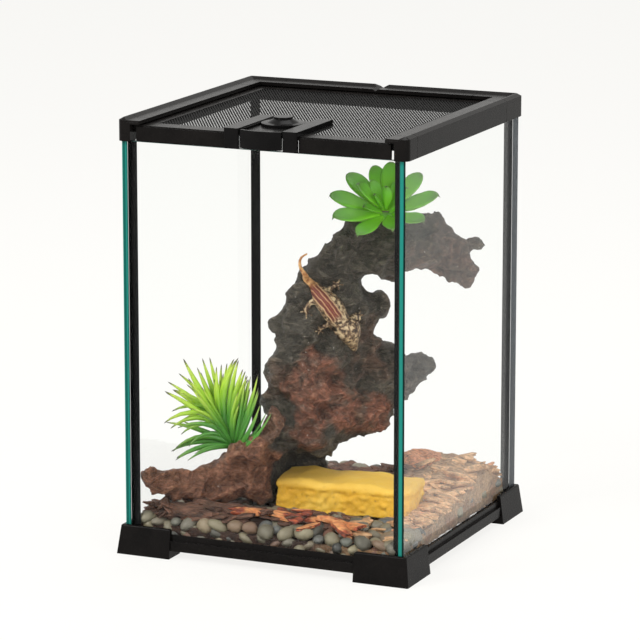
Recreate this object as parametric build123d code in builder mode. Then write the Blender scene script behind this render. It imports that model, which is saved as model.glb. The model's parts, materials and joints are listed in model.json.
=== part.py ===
"""Small glass reptile terrarium with a sliding screen lid, dressed with wood, plants and gravel.

Millimetres, +Z up. The origin is the middle of the footprint, on the surface the feet stand on.
The front is -Y, and the lid slides out that way.
"""

import os
from math import cos, pi, radians, sin

from build123d import *

# ---------------------------------------------------------------- driving dimensions
# Glass box
glass_width = 203.0
glass_depth = 203.0
glass_t = 4.0
pane_joint = 0.2
glass_bottom_z = 7.2
side_glass_top = 288.0
bead_leg = 5.0
base_bead_leg = 3.0

# Corner feet
foot_height = 20.0
foot_length = 39.5
foot_flare_bottom = 5.2
foot_flare_top = 2.7
foot_inner_reach = 12.0
foot_rim = 2.5
foot_recess = 3.5
foot_edge_r = 1.2

# Base rails
rail_bottom_z = 5.5
rail_flange = 3.2
rail_flange_h = 6.8
rail_lip = 1.3
rail_top_z = 16.5
rail_seam = 0.2

# Top frame
frame_skirt = 5.6
frame_rise = 8.4
frame_flare = 2.5
frame_corner_r = 4.5
ridge_rise = 1.7
ridge_bevel = 3.1
ridge_flat = 0.7
ridge_slope = 3.4
frame_width = 16.0
frame_lip_t = 2.5
frame_body_w = 9.6
ledge_reach = 3.9
ledge_t = 1.2
slot_roof_gap = 0.2
cap_leg_front = 16.0
cap_leg_back = 32.0
cap_seam = 0.3
notch_width = 10.5
notch_depth = 3.2
tab_bevel = 1.2

# Sliding lid
lid_side_gap = 0.5
lid_seat_gap = 0.3
lid_t = 3.5
lid_border = 13.4
lid_lip = 3.0
bar_depth = 13.3
bar_set_back = 0.2
bar_plate_t = 2.1
bar_glass_gap = 0.5
bar_drop = 10.5
bar_end_gap = 2.8
screen_t = 0.7
screen_rebate = 0.9
screen_gap = 0.2
screen_cells = 16
screen_wire = 1.8

# Latch housing, hatch and flap
ear_width = 10.4
ear_t = 2.8
channel_half = 15.8
tray_t = 2.1
tray_length = 52.5
tray_front_set = 6.0
hatch_gap = 0.3
hatch_t = 0.9
hatch_length = 49.0
lip_reach = 0.9
lip_t = 1.1
feed_hole_r = 11.0
knob_set = 37.0
knob_r = 14.6
knob_base_t = 1.8
knob_cone_r = 10.5
knob_cone_h = 2.6
knob_cap_r = 6.5
knob_cap_h = 1.4
flap_half = 14.8
flap_bow = 3.0
flap_t = 2.0
flap_height = 12.2
flap_set = 0.8
arm_half = 5.0
arm_t = 2.2
arm_length = 17.5
arm_wall_t = 1.4
arm_wall_length = 10.0
run_gap = 0.4
lug_t = 3.3

# Inside
bed_top_z = 24.0
pebble_r = 8.0
pebble_sink = 2.0
pebble_pitch = 17.0
seat_gap = 0.3
wood_slope = 0.867
wood_shift = -6.3
wood_face = 17.0
rosette_spot = (33.0, 220.0)
rosette_off = -11.0
grass_spot = (-45.5, 62.5)
tuft_turn = 23.8
ledge_x = 28.0
ledge_y = -18.5
ledge_turn = 5.0
ledge_length = 97.0
ledge_depth = 42.0
ledge_height = 24.0
ledge_head_room = 9.0
chip_length = 17.0
chip_width = 10.0
chip_t = 4.5

# ---------------------------------------------------------------- derived places
half_x = glass_width / 2
half_y = glass_depth / 2
inner_x = half_x - glass_t
inner_y = half_y - glass_t
fit = 0.15
floor_z = glass_bottom_z + glass_t
frame_bottom_z = side_glass_top - frame_skirt
frame_shoulder_z = side_glass_top + frame_rise
front_glass_top = frame_bottom_z - fit
bead_top_z = frame_bottom_z - seat_gap

frame_x = half_x + frame_flare
frame_y = half_y + frame_flare
ridge_z = frame_shoulder_z + ridge_rise
groove_x = frame_x - frame_body_w
groove_y = frame_y - frame_body_w
lip_x = frame_x - frame_width
lip_y = frame_y - frame_width
lip_under_z = frame_shoulder_z - frame_lip_t
slot_roof_z = side_glass_top + slot_roof_gap
ledge_top_z = slot_roof_z + ledge_t
beyond = 20.0

lid_x = groove_x - lid_side_gap
lid_y = groove_y - lid_side_gap
lid_bottom_z = ledge_top_z + lid_seat_gap
lid_top_z = lid_bottom_z + lid_t
window_x = lid_x - lid_border
window_y = lid_y - lid_border
bar_front_y = -(half_y - bar_set_back)
bar_back_y = bar_front_y + bar_depth
bar_bottom_z = front_glass_top + bar_glass_gap
bar_half = groove_x - bar_end_gap - lid_side_gap
screen_top_z = lid_top_z - screen_gap
screen_bottom_z = screen_top_z - screen_t

housing_half = channel_half + ear_width
notch_half = housing_half + pane_joint
ear_front_y = -frame_y
ear_top_z = frame_shoulder_z
tray_front_y = ear_front_y + tray_front_set
tray_back_y = tray_front_y + tray_length
tray_bottom_z = screen_top_z - tray_t
hatch_bottom_z = screen_top_z + hatch_gap
hatch_top_z = hatch_bottom_z + hatch_t
lip_bottom_z = hatch_top_z + hatch_gap
knob_y = ear_front_y + knob_set
flap_front_y = ear_front_y + flap_set
flap_bottom_z = bar_bottom_z + 2 * run_gap
arm_top_z = tray_bottom_z - run_gap
arm_bottom_z = arm_top_z - arm_t

up = Vector(0, 0, 1)
wood_along = Vector(1, wood_slope, 0).normalized()
wood_across = up.cross(wood_along)
# the wood's stations are written for panes that end 264 above the gravel
wood_rise = (side_glass_top - bed_top_z) / 264.0


# ---------------------------------------------------------------- helpers
def block(low, high, mode=Mode.ADD):
    """Adds or cuts a box between two corners, in the part being built."""
    size = [h - l for l, h in zip(low, high)]
    middle = [(l + h) / 2 for l, h in zip(low, high)]
    with Locations(tuple(middle)):
        Box(*size, mode=mode)


def keep(piece, name):
    """Names a finished piece and writes it out."""
    piece.label = name
    export_step(piece, f"parts/{name}.step")


def tapered_square(half_low, half_high, z_low, z_high, front=None):
    """A square block that widens or narrows with height. front, if given, is where it starts."""
    with BuildPart() as made:
        for (reach_x, reach_y), z in ((half_low, z_low), (half_high, z_high)):
            start = -reach_y if front is None else front
            with BuildSketch(Plane.XY.offset(z)):
                with Locations((0, (reach_y + start) / 2)):
                    Rectangle(2 * reach_x, reach_y - start)
        loft(ruled=True)
    return made.part


def limb(stations, side, sides=9, bump=0.1):
    """A tapering branch, leaf or leg: a ruled loft through knobbly polygons square to its line.

    Each station is (centre, reach along side, reach across it).
    """
    centres = [Vector(*station[0]) for station in stations]
    last = len(centres) - 1
    with BuildPart() as made:
        for i, (_, side_reach, other_reach) in enumerate(stations):
            along = (centres[min(i + 1, last)] - centres[max(i - 1, 0)]).normalized()
            across = (side - along * side.dot(along)).normalized()
            corners = []
            for k in range(sides):
                turn = 2 * pi * k / sides
                swell = 1 + bump * sin(3 * turn + 1.7 * i)
                corners.append((side_reach * swell * cos(turn), other_reach * swell * sin(turn)))
            with BuildSketch(Plane(origin=centres[i], x_dir=across, z_dir=along)):
                Polygon(*corners)
        loft(ruled=True)
    return made.part


def wood_point(x, z, off=0.0):
    """A point on the wood's upright middle plane, or off it (minus is towards the front)."""
    height = bed_top_z + (z - bed_top_z) * wood_rise
    return Vector(x, wood_slope * x + wood_shift, height) + wood_across * off


def free_space(low_z, high_z):
    """Trims the part being built to the room between the panes."""
    gap = seat_gap
    low = (-inner_x + gap, -inner_y + gap, low_z)
    high = (inner_x - gap, inner_y - gap, high_z)
    block(low, high, Mode.INTERSECT)


os.makedirs("parts", exist_ok=True)

# ---------------------------------------------------------------- glass
# The side panes run the full depth, and the front, back and bottom panes stand between them.
for name, sign in (("glass_left", -1), ("glass_right", 1)):
    with BuildPart() as side_pane:
        edges_x = sorted((sign * inner_x, sign * half_x))
        block((edges_x[0], -half_y, glass_bottom_z), (edges_x[1], half_y, side_glass_top))
    keep(side_pane.part, name)

between = inner_x - pane_joint
with BuildPart() as back_pane:
    block((-between, inner_y, glass_bottom_z), (between, half_y, side_glass_top))
keep(back_pane.part, "glass_back")

with BuildPart() as front_pane:
    block((-between, -half_y, glass_bottom_z), (between, -inner_y, front_glass_top))
keep(front_pane.part, "glass_front")

with BuildPart() as bottom_pane:
    floor_y = inner_y - pane_joint
    block((-between, -floor_y, glass_bottom_z), (between, floor_y, floor_z))
keep(bottom_pane.part, "glass_bottom")

# Sealant: a three-cornered bead up each inside corner and one round the floor.
base_bead_top = floor_z + base_bead_leg
with BuildPart() as corner_beads:
    for sx in (-1, 1):
        for sy in (-1, 1):
            with BuildSketch(Plane.XY.offset(base_bead_top + fit)):
                Polygon(
                    (sx * inner_x, sy * inner_y),
                    (sx * (inner_x - bead_leg), sy * inner_y),
                    (sx * inner_x, sy * (inner_y - bead_leg)),
                )
            extrude(amount=bead_top_z - base_bead_top - fit)
keep(corner_beads.part, "silicone_corner_beads")

bead_edge = 0.2
bead_room = tapered_square(
    (inner_x - base_bead_leg, inner_y - base_bead_leg),
    (inner_x - bead_edge, inner_y - bead_edge),
    floor_z,
    base_bead_top,
)
with BuildPart() as base_bead:
    block((-inner_x, -inner_y, floor_z), (inner_x, inner_y, base_bead_top))
    add(bead_room, mode=Mode.SUBTRACT)
keep(base_bead.part, "silicone_base_bead")

# ---------------------------------------------------------------- corner feet
foot_x0 = half_x + foot_flare_bottom - foot_length
foot_y0 = half_y + foot_flare_bottom - foot_length
with BuildPart() as foot:
    for flare, z in ((foot_flare_bottom, 0.0), (foot_flare_top, foot_height)):
        with BuildSketch(Plane.XY.offset(z)):
            size = (half_x + flare - foot_x0, half_y + flare - foot_y0)
            with Locations((foot_x0, foot_y0)):
                Rectangle(*size, align=(Align.MIN, Align.MIN))
    loft(ruled=True)
    outer_corner = foot.edges().filter_by(lambda e: e.length > foot_height * 0.9).sort_by(
        lambda e: e.center().X + e.center().Y
    )
    upright = [e for e in outer_corner if abs(e.tangent_at(0.5).Z) > 0.9][-1]
    fillet(upright, foot_edge_r)
    fillet(foot.faces().sort_by(Axis.Z)[-1].edges(), foot_edge_r)
    # the seat of the glass corner, and the open middle of the L
    block((0, 0, glass_bottom_z - fit), (half_x + fit, half_y + fit, foot_height + 1), Mode.SUBTRACT)
    inner_cut = (half_x - foot_inner_reach, half_y - foot_inner_reach)
    block((0, 0, -1), (*inner_cut, foot_height), Mode.SUBTRACT)
    # the hollow under each leg
    recess_x = (half_x - foot_inner_reach + foot_rim, half_x)
    recess_y = (half_y - foot_inner_reach + foot_rim, half_y)
    block((recess_x[0], foot_y0 + foot_rim, -1), (recess_x[1], recess_y[1], foot_recess), Mode.SUBTRACT)
    block((foot_x0 + foot_rim, recess_y[0], -1), (recess_x[1], recess_y[1], foot_recess), Mode.SUBTRACT)
keep(foot.part, "foot_back_right")

with BuildPart() as foot_back_left:
    mirror(foot.part, about=Plane.YZ)
keep(foot_back_left.part, "foot_back_left")

with BuildPart() as foot_front_right:
    mirror(foot.part, about=Plane.XZ)
keep(foot_front_right.part, "foot_front_right")

with BuildPart() as foot_front_left:
    mirror(foot_back_left.part, about=Plane.XZ)
keep(foot_front_left.part, "foot_front_left")

# ---------------------------------------------------------------- base rails
rail_half_x = foot_x0 - rail_seam
rail_half_y = foot_y0 - rail_seam
base_rails = (
    ("base_rail_front", Vector(0, -1, 0), half_y, rail_half_x),
    ("base_rail_back", Vector(0, 1, 0), half_y, rail_half_x),
    ("base_rail_left", Vector(-1, 0, 0), half_x, rail_half_y),
    ("base_rail_right", Vector(1, 0, 0), half_x, rail_half_y),
)
flange_top_z = rail_bottom_z + rail_flange_h
rail_edge_r = 1.0
for name, outward, reach, half_length in base_rails:
    with BuildPart() as base_rail:
        with BuildSketch(Plane(origin=outward * reach, x_dir=outward, z_dir=outward.cross(up))):
            Polygon(
                (-foot_inner_reach, rail_bottom_z),
                (rail_flange, rail_bottom_z),
                (rail_flange, flange_top_z),
                (rail_lip, flange_top_z),
                (rail_lip, rail_top_z),
                (fit, rail_top_z),
                (fit, glass_bottom_z - fit),
                (-foot_inner_reach, glass_bottom_z - fit),
            )
            outer = vertices().filter_by(lambda v: v.distance_to(outward * (reach + rail_flange)
                                                                + up * flange_top_z) < 0.01)
            fillet(outer, rail_edge_r)
        extrude(amount=half_length, both=True)
    keep(base_rail.part, name)

# ---------------------------------------------------------------- top frame
# One moulded section runs round the left, back and right: an outer skirt with the glass slot, a ridge,
# a lower flat lip over the lid's groove, and a ledge that carries the lid. The front stays open.
ridge_x = frame_x - ridge_bevel - ridge_flat
ridge_y = frame_y - ridge_bevel - ridge_flat
lip_room = tapered_square(
    (ridge_x - ridge_slope, ridge_y - ridge_slope),
    (ridge_x, ridge_y),
    frame_shoulder_z,
    ridge_z,
    front=-(frame_y + beyond),
)
with BuildPart() as top_frame:
    with BuildSketch(Plane.XY.offset(frame_bottom_z)):
        RectangleRounded(2 * frame_x, 2 * frame_y, frame_corner_r)
    extrude(amount=frame_shoulder_z - frame_bottom_z)
    with BuildSketch(Plane.XY.offset(frame_shoulder_z)):
        RectangleRounded(2 * frame_x, 2 * frame_y, frame_corner_r)
    with BuildSketch(Plane.XY.offset(ridge_z)):
        RectangleRounded(
            2 * (frame_x - ridge_bevel), 2 * (frame_y - ridge_bevel), frame_corner_r - ridge_bevel
        )
    loft(ruled=True)
    # the flat lip behind the ridge, open to the front
    add(lip_room, mode=Mode.SUBTRACT)
    # from the top: the window, the lid's groove, the window between the ledges, and the room below
    for reach_x, reach_y, low_z, high_z in (
        (lip_x, lip_y, ledge_top_z, ridge_z),
        (groove_x, groove_y, ledge_top_z, lip_under_z),
        (groove_x - ledge_reach, groove_y - ledge_reach, slot_roof_z, ledge_top_z),
        (groove_x, groove_y, frame_bottom_z, slot_roof_z),
    ):
        block((-reach_x, -(frame_y + beyond), low_z), (reach_x, reach_y, high_z), Mode.SUBTRACT)
    # the ledges start behind the lid's front bar
    block(
        (-groove_x, -(frame_y + beyond), slot_roof_z),
        (groove_x, bar_front_y + bar_plate_t + lid_seat_gap, ledge_top_z),
        Mode.SUBTRACT,
    )
    # the slots for the side and back panes
    for sx in (-1, 1):
        slot_x = sorted((sx * (inner_x - pane_joint), sx * (half_x + pane_joint)))
        block(
            (slot_x[0], -half_y - fit, frame_bottom_z),
            (slot_x[1], half_y + pane_joint, slot_roof_z),
            Mode.SUBTRACT,
        )
    block(
        (-half_x, inner_y - pane_joint, frame_bottom_z),
        (half_x, half_y + pane_joint, slot_roof_z),
        Mode.SUBTRACT,
    )
    # the V notch for a cable, across the middle of the back
    with BuildSketch(Plane.XZ.offset(-(frame_y + 1))):
        Polygon(
            (-notch_width / 2, ridge_z),
            (notch_width / 2, ridge_z),
            (0, ridge_z - notch_depth),
        )
    extrude(amount=frame_width + 2, mode=Mode.SUBTRACT)
    # the bevel on the front ends of the two lips
    with BuildSketch(Plane.YZ):
        Polygon(
            (-frame_y - 1, frame_shoulder_z - tab_bevel - 1),
            (-frame_y + tab_bevel + 1, frame_shoulder_z + 1),
            (-frame_y - 1, frame_shoulder_z + 1),
        )
    extrude(amount=ridge_x - ridge_slope, both=True, mode=Mode.SUBTRACT)

# The section is cut into three rails and four corner caps.
seam_front = -(frame_y - cap_leg_front)
seam_back = frame_y - cap_leg_back
seam_x = frame_x - cap_leg_back
gap = cap_seam / 2
low_z, high_z = frame_bottom_z - 1, ridge_z + 1
out_x, out_y = frame_x + 1, frame_y + 1
top_pieces = {
    "top_rail_left": ((-out_x, seam_front + gap), (0, seam_back - gap)),
    "top_rail_right": ((0, seam_front + gap), (out_x, seam_back - gap)),
    "top_rail_back": ((-seam_x + gap, 0), (seam_x - gap, out_y)),
    "top_cap_front_left": ((-out_x, -out_y), (0, seam_front - gap)),
    "top_cap_front_right": ((0, -out_y), (out_x, seam_front - gap)),
    "top_cap_back_left": ((-out_x, seam_back + gap), (-seam_x - gap, out_y)),
    "top_cap_back_right": ((seam_x + gap, seam_back + gap), (out_x, out_y)),
}
for name, (low, high) in top_pieces.items():
    with BuildPart() as top_piece:
        add(top_frame.part)
        block((*low, low_z), (*high, high_z), Mode.INTERSECT)
    keep(top_piece.part, name)

# ---------------------------------------------------------------- lid frame and screen
groove_lip = 0.8
with BuildPart() as lid_frame:
    block((-lid_x, -half_y + bar_plate_t, lid_bottom_z), (lid_x, lid_y, lid_top_z))
    block((-bar_half, bar_front_y, bar_bottom_z), (bar_half, bar_front_y + bar_plate_t, lid_top_z))
    # a fine step along the top of the front bar
    block(
        (-bar_half, bar_front_y, lid_top_z - groove_lip),
        (bar_half, bar_front_y + groove_lip, lid_top_z),
        Mode.SUBTRACT,
    )
    # the window, with a rebate that the screen lies in
    block((-window_x, bar_back_y, lid_bottom_z), (window_x, window_y, lid_top_z), Mode.SUBTRACT)
    lip_room = (-window_x, bar_back_y, lid_bottom_z)
    block(lip_room, (window_x, window_y, screen_bottom_z - fit))
    block(
        (-window_x + lid_lip, bar_back_y + lid_lip, lid_bottom_z),
        (window_x - lid_lip, window_y - lid_lip, lid_top_z),
        Mode.SUBTRACT,
    )
    # the gap that the latch housing fills
    block(
        (-notch_half, bar_front_y - 1, bar_bottom_z - 1),
        (notch_half, bar_back_y + lid_lip, lid_top_z + 1),
        Mode.SUBTRACT,
    )
keep(lid_frame.part, "lid_frame")

screen_x = window_x - pane_joint
screen_y0 = bar_back_y + pane_joint
screen_y1 = window_y - pane_joint
cell_x = (2 * screen_x - screen_wire) / screen_cells
cell_y = (screen_y1 - screen_y0 - screen_wire) / screen_cells
gap_x = cell_x - screen_wire
gap_y = cell_y - screen_wire
notch_back_y = tray_back_y + pane_joint
# The screen goes round the latch housing, as one panel at each side of it and one behind.
screen_panels = (
    ((-screen_x, screen_y0), (-notch_half, notch_back_y - pane_joint)),
    ((notch_half, screen_y0), (screen_x, notch_back_y - pane_joint)),
    ((-screen_x, notch_back_y), (screen_x, screen_y1)),
)
with BuildPart() as screen:
    for low, high in screen_panels:
        screen_gaps = []
        for i in range(screen_cells):
            for k in range(screen_cells):
                x = -screen_x + screen_wire + gap_x / 2 + i * cell_x
                y = screen_y0 + screen_wire + gap_y / 2 + k * cell_y
                inside_x = low[0] < x - gap_x / 2 and x + gap_x / 2 < high[0]
                inside_y = low[1] < y - gap_y / 2 and y + gap_y / 2 < high[1]
                if inside_x and inside_y:
                    screen_gaps.append(Wire.make_rect(gap_x, gap_y, Plane((x, y, screen_bottom_z))))
        corners = (low, (high[0], low[1]), high, (low[0], high[1]))
        panel_edge = Wire.make_polygon([(x, y, screen_bottom_z) for x, y in corners])
        extrude(Face(panel_edge, screen_gaps), amount=screen_t, dir=(0, 0, 1))
keep(screen.part, "screen_mesh")

# ---------------------------------------------------------------- latch housing
with BuildPart() as housing:
    block((-housing_half, tray_front_y, tray_bottom_z), (housing_half, tray_back_y, screen_top_z))
    for sx in (-1, 1):
        rail_x = sorted((sx * channel_half, sx * housing_half))
        block((rail_x[0], ear_front_y, screen_top_z), (rail_x[1], tray_back_y, ear_top_z))
        block((rail_x[0], ear_front_y, bar_bottom_z), (rail_x[1], ear_front_y + ear_t, ear_top_z))
        block((rail_x[0], ear_front_y, tray_bottom_z), (rail_x[1], tray_front_y, screen_top_z))
        # the lip that holds the hatch down
        lip_span = sorted((sx * (channel_half - lip_reach), sx * channel_half))
        block(
            (lip_span[0], tray_front_y, lip_bottom_z),
            (lip_span[1], tray_back_y, lip_bottom_z + lip_t),
        )
        # the channel under the tray for the flap's arm
        wall = sorted((sx * (arm_half + run_gap), sx * (arm_half + run_gap + arm_wall_t)))
        wall_foot_z = arm_bottom_z - run_gap - arm_wall_t / 2
        block(
            (wall[0], tray_front_y, wall_foot_z),
            (wall[1], tray_front_y + arm_wall_length, tray_bottom_z),
        )
        hook = sorted((sx * (arm_half - arm_wall_t), sx * (arm_half + run_gap)))
        block(
            (hook[0], tray_front_y, wall_foot_z),
            (hook[1], tray_front_y + arm_wall_length, wall_foot_z + arm_wall_t / 2),
        )
    with Locations((0, knob_y, tray_bottom_z + tray_t / 2)):
        Cylinder(feed_hole_r, tray_t, mode=Mode.SUBTRACT)
    ear_corners = housing.edges().filter_by(Axis.Z).filter_by(
        lambda e: abs(e.center().Y - ear_front_y) < 0.01
    )
    fillet(ear_corners, 1.0)
keep(housing.part, "latch_housing")

# ---------------------------------------------------------------- feeding hatch
hatch_half = channel_half - run_gap
hatch_front_y = knob_y - hatch_length / 2 - 3.5
with BuildPart() as hatch:
    block(
        (-hatch_half, hatch_front_y, hatch_bottom_z),
        (hatch_half, hatch_front_y + hatch_length, hatch_top_z),
    )
keep(hatch.part, "hatch_door")

with BuildPart() as knob:
    with BuildSketch(Plane.XZ.offset(-knob_y)):
        with BuildLine():
            cone_foot_z = hatch_top_z + knob_base_t
            cone_top_z = cone_foot_z + knob_cone_h
            cap_top_z = cone_top_z + knob_cap_h
            Polyline(
                (0, cap_top_z),
                (0, hatch_top_z),
                (knob_r, hatch_top_z),
                (knob_r, cone_foot_z),
                (knob_cone_r, cone_foot_z + knob_base_t / 6),
                (knob_cap_r, cone_top_z),
                (knob_cap_r, cap_top_z - knob_cap_h / 5),
                (knob_cap_r - knob_cap_h / 5, cap_top_z),
                close=True,
            )
        make_face()
    revolve(axis=Axis((0, knob_y, 0), (0, 0, 1)))
keep(knob.part, "hatch_knob")

# ---------------------------------------------------------------- push flap
with BuildPart() as flap:
    with BuildSketch(Plane.XY.offset(flap_bottom_z)):
        with BuildLine():
            outer_bow = ThreePointArc(
                (-flap_half, flap_front_y), (0, flap_front_y - flap_bow), (flap_half, flap_front_y)
            )
            inner_bow = ThreePointArc(
                (-flap_half, flap_front_y + flap_t),
                (0, flap_front_y + flap_t - flap_bow),
                (flap_half, flap_front_y + flap_t),
            )
            Line(outer_bow @ 0, inner_bow @ 0)
            Line(outer_bow @ 1, inner_bow @ 1)
        make_face()
    extrude(amount=flap_height)
    arm_start_y = flap_front_y - flap_bow + flap_t
    arm_end_y = arm_start_y + arm_length
    block(
        (-arm_half, arm_start_y - flap_t / 2, arm_bottom_z),
        (arm_half, arm_end_y, arm_top_z),
    )
    # the lug that stops the lid behind the front pane, a little above the pane's edge
    lug_half = arm_half - arm_wall_t - run_gap
    lug_y = -inner_y + 2 * run_gap
    block((-lug_half, lug_y, bar_bottom_z), (lug_half, lug_y + lug_t, arm_top_z))
keep(flap.part, "latch_flap")

# ---------------------------------------------------------------- rock ledge
bed_seat_z = bed_top_z + seat_gap
ledge_along = Vector(cos(radians(ledge_turn)), sin(radians(ledge_turn)), 0)
ledge_across = up.cross(ledge_along)
ledge_middle = Vector(ledge_x, ledge_y, bed_seat_z)
ledge_base = Plane(origin=ledge_middle, x_dir=ledge_along, z_dir=up)
ledge_steps = 6
with BuildPart() as rock:
    for i in range(ledge_steps + 1):
        wave = sin(2.1 * i)
        end = 3.0 if i in (0, ledge_steps) else 0.0
        top = ledge_height - 1.5 + 1.2 * wave
        front, back = -ledge_depth / 2 + end + 1.2 * wave, ledge_depth / 2 - end
        place = ledge_middle + ledge_along * (ledge_length * (i / ledge_steps - 0.5))
        with BuildSketch(Plane(origin=place, x_dir=ledge_across, z_dir=ledge_along)):
            Polygon(
                (front, 0),
                (back, 0),
                (back - 1.0, top - 4.0),
                (back - 4.0, top),
                (front + 4.0, top - 0.5 - end / 2),
                (front + 1.0, top - 3.5),
            )
    loft(ruled=True)
keep(rock.part, "rock_ledge")

# ---------------------------------------------------------------- driftwood
# Each station is x and z on the wood's middle plane, its reach in that plane, and its half thickness.
wood_limbs = {
    "root": [
        (-96, 48, 9, 7), (-80, 45, 11, 10), (-60, 41, 13, 13),
        (-44, 47, 21, 15), (-32, 54, 27, 16), (-18, 60, 30, 17),
    ],
    "trunk": [
        (-14, 30, 30, 17), (-14, 56, 28, 19), (-8, 74, 31, 19), (3, 93, 42, 19), (1, 121, 42, 19),
        (4, 146, 38, 19), (7, 167, 31, 19), (7, 182, 23, 18), (11, 197, 18, 15),
    ],
    "arch": [(6, 188, 15, 16), (20, 200, 22, 16), (38, 201, 26, 15), (56, 200, 22, 14),
             (70, 189, 18, 12), (79, 176, 12, 9), (79, 166, 6, 6)],
    "arch_tip": [(68, 196, 11, 9), (80, 196, 7, 6), (88, 197, 4, 4)],
    "arch_knob": [(56, 206, 14, 10), (66, 216, 6, 6)],
    "middle_lobe": [(14, 156, 20, 14), (27, 158, 14, 11), (36, 160, 7, 7)],
    "low_lobe": [(26, 114, 28, 15), (44, 108, 20, 12), (54, 112, 14, 9), (61, 118, 5, 5)],
    "low_spur": [(12, 88, 22, 14), (26, 83, 14, 11), (36, 81, 10, 8), (41, 81, 4, 4)],
}
rosette_seat = wood_point(*rosette_spot, rosette_off)
grass_seat = wood_point(*grass_spot)
limbs = []
for stations in wood_limbs.values():
    limbs.append(limb([(wood_point(x, z), depth, reach) for x, z, reach, depth in stations], wood_across))

with BuildPart() as wood:
    add(limbs)
    free_space(bed_seat_z, bead_top_z)
    # flat places where the rosette, the grass and the gecko sit
    top_x = (rosette_seat.X - 24, rosette_seat.X + 18)
    block((top_x[0], -inner_y, rosette_seat.Z), (top_x[1], inner_y, ridge_z), Mode.SUBTRACT)
    under_leaf_z = rosette_seat.Z - 2.6
    under_leaf_x = (rosette_seat.X - 32, rosette_seat.X - 10)
    block((under_leaf_x[0], -inner_y, under_leaf_z), (under_leaf_x[1], inner_y, ridge_z), Mode.SUBTRACT)
    # a ridge of wood is left standing in front of the grass
    grass_x = (grass_seat.X - 11, grass_seat.X + 11)
    grass_y = (grass_seat.Y - 8.5, grass_seat.Y + 28)
    grass_room = ((grass_x[0], grass_y[0], grass_seat.Z), (grass_x[1], grass_y[1], grass_seat.Z + 40))
    block(*grass_room, Mode.SUBTRACT)
    face_plane = Plane(origin=wood_point(0, 165, -wood_face), x_dir=wood_along, z_dir=-wood_across)
    with BuildSketch(face_plane):
        Rectangle(70, 90)
    extrude(amount=beyond, mode=Mode.SUBTRACT)
    # room for the rock ledge, over whose back edge the wood leans
    with BuildSketch(ledge_base):
        Rectangle(ledge_length + 4, ledge_depth + 4)
    extrude(amount=ledge_height + ledge_head_room, mode=Mode.SUBTRACT)
keep(wood.part, "driftwood")

# ---------------------------------------------------------------- rosette succulent
rosette_base = rosette_seat + up * seat_gap
rosette_rings = ((8, 2, 38, 9.0, 0.4), (6, 38, 32, 9.0, 0.5), (4, 68, 26, 7.4, 0.2))
# the front petals hang lower than the back ones
rosette_lean = 20.0
lean_towards = Vector(-0.4, -0.92, 0)
petals = []
for count, ring_rise, length, half_width, phase in rosette_rings:
    for k in range(count):
        turn = 2 * pi * k / count + phase
        out = Vector(cos(turn), sin(turn), 0)
        tilt = radians(ring_rise - rosette_lean * out.dot(lean_towards))
        lift = out * cos(tilt) + up * sin(tilt)
        normal = up * cos(tilt) - out * sin(tilt)
        petal_stations = []
        for share, width in ((0.14, 0.4), (0.4, 0.85), (0.65, 1.0), (0.85, 0.75), (1.0, 0.2)):
            centre = rosette_base + up * 4.5 + lift * (length * share) + normal * (3.0 * share**2)
            petal_stations.append((centre, 0.3 * half_width * width, half_width * width))
        petals.append(limb(petal_stations, normal, sides=6, bump=0.0))
with BuildPart() as rosette:
    with Locations(rosette_base + up * 4.0):
        Cylinder(6.5, 8.0)
    add(petals)
keep(rosette.part, "rosette_succulent")

# ---------------------------------------------------------------- grass plant
grass_base = grass_seat + up * seat_gap
hub_r = 7.0
hub_centre = grass_base + up * hub_r
tuft_right = Vector(cos(radians(tuft_turn)), sin(radians(tuft_turn)), 0)
tuft_front = tuft_right.cross(up)
# Each blade is a tip and the point that draws its arch: right, up and forward of the hub.
blade_lines = (
    ((-34, 62, 4), (-16, 28, 2)), ((-22, 60, -8), (-12, 30, -4)), ((-12, 58, 8), (-13, 30, 4)),
    ((-9, 57, -4), (-9, 26, -2)), ((0, 64, 12), (-11, 32, 4)), ((3, 64, 16), (-3, 32, 8)),
    ((6, 59, 20), (-1, 28, 9)), ((8, 54, 14), (3, 26, 8)), ((11, 54, 18), (5, 24, 12)),
    ((16, 56, 22), (8, 20, 16)), ((3, 44, 20), (-3, 28, 13)), ((-31, 51, 12), (-14, 28, 8)),
    ((-38, 50, -6), (-17, 28, -4)), ((-45, 46, 2), (-20, 32, 0)), ((-47, 41, 8), (-22, 28, 6)),
    ((-42, 38, -8), (-20, 24, -6)), ((-30, 31, 14), (-15, 25, 9)), ((-43, 26, 3), (-24, 38, 2)),
    ((-48, 19, 9), (-28, 34, 6)), ((-47, 17, -3), (-28, 13, -2)), ((-39, 17, 13), (-24, 26, 8)),
    ((-41, 1, 6), (-27, 14, 4)), ((-43, -3, 0), (-27, 8, -1)), ((-41, -7, 8), (-27, 3, 6)),
    ((-33, -6, 14), (-20, 2, 10)), ((-25, 42, 18), (-12, 22, 10)), ((18, 38, 28), (9, 12, 22)),
    ((26, 32, 26), (13, 11, 24)), ((17, 46, 26), (8, 18, 18)), ((-6, 48, -10), (-7, 24, -6)),
)
blades = []
for tip, arch in blade_lines:
    to_tip = tuft_right * tip[0] + up * tip[1] + tuft_front * tip[2]
    to_arch = tuft_right * arch[0] + up * arch[1] + tuft_front * arch[2]
    to_root = to_arch.normalized() * (0.8 * hub_r)
    blade_stations = []
    for share, width in ((0.0, 0.7), (0.35, 1.05), (0.7, 0.85), (1.0, 0.25)):
        before, between_ends, after = (1 - share) ** 2, 2 * share * (1 - share), share**2
        centre = hub_centre + to_root * before + to_arch * between_ends + to_tip * after
        blade_stations.append((centre, 0.9 * width, 2.2 * width))
    blades.append(limb(blade_stations, tuft_front, sides=4, bump=0.0))
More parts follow.
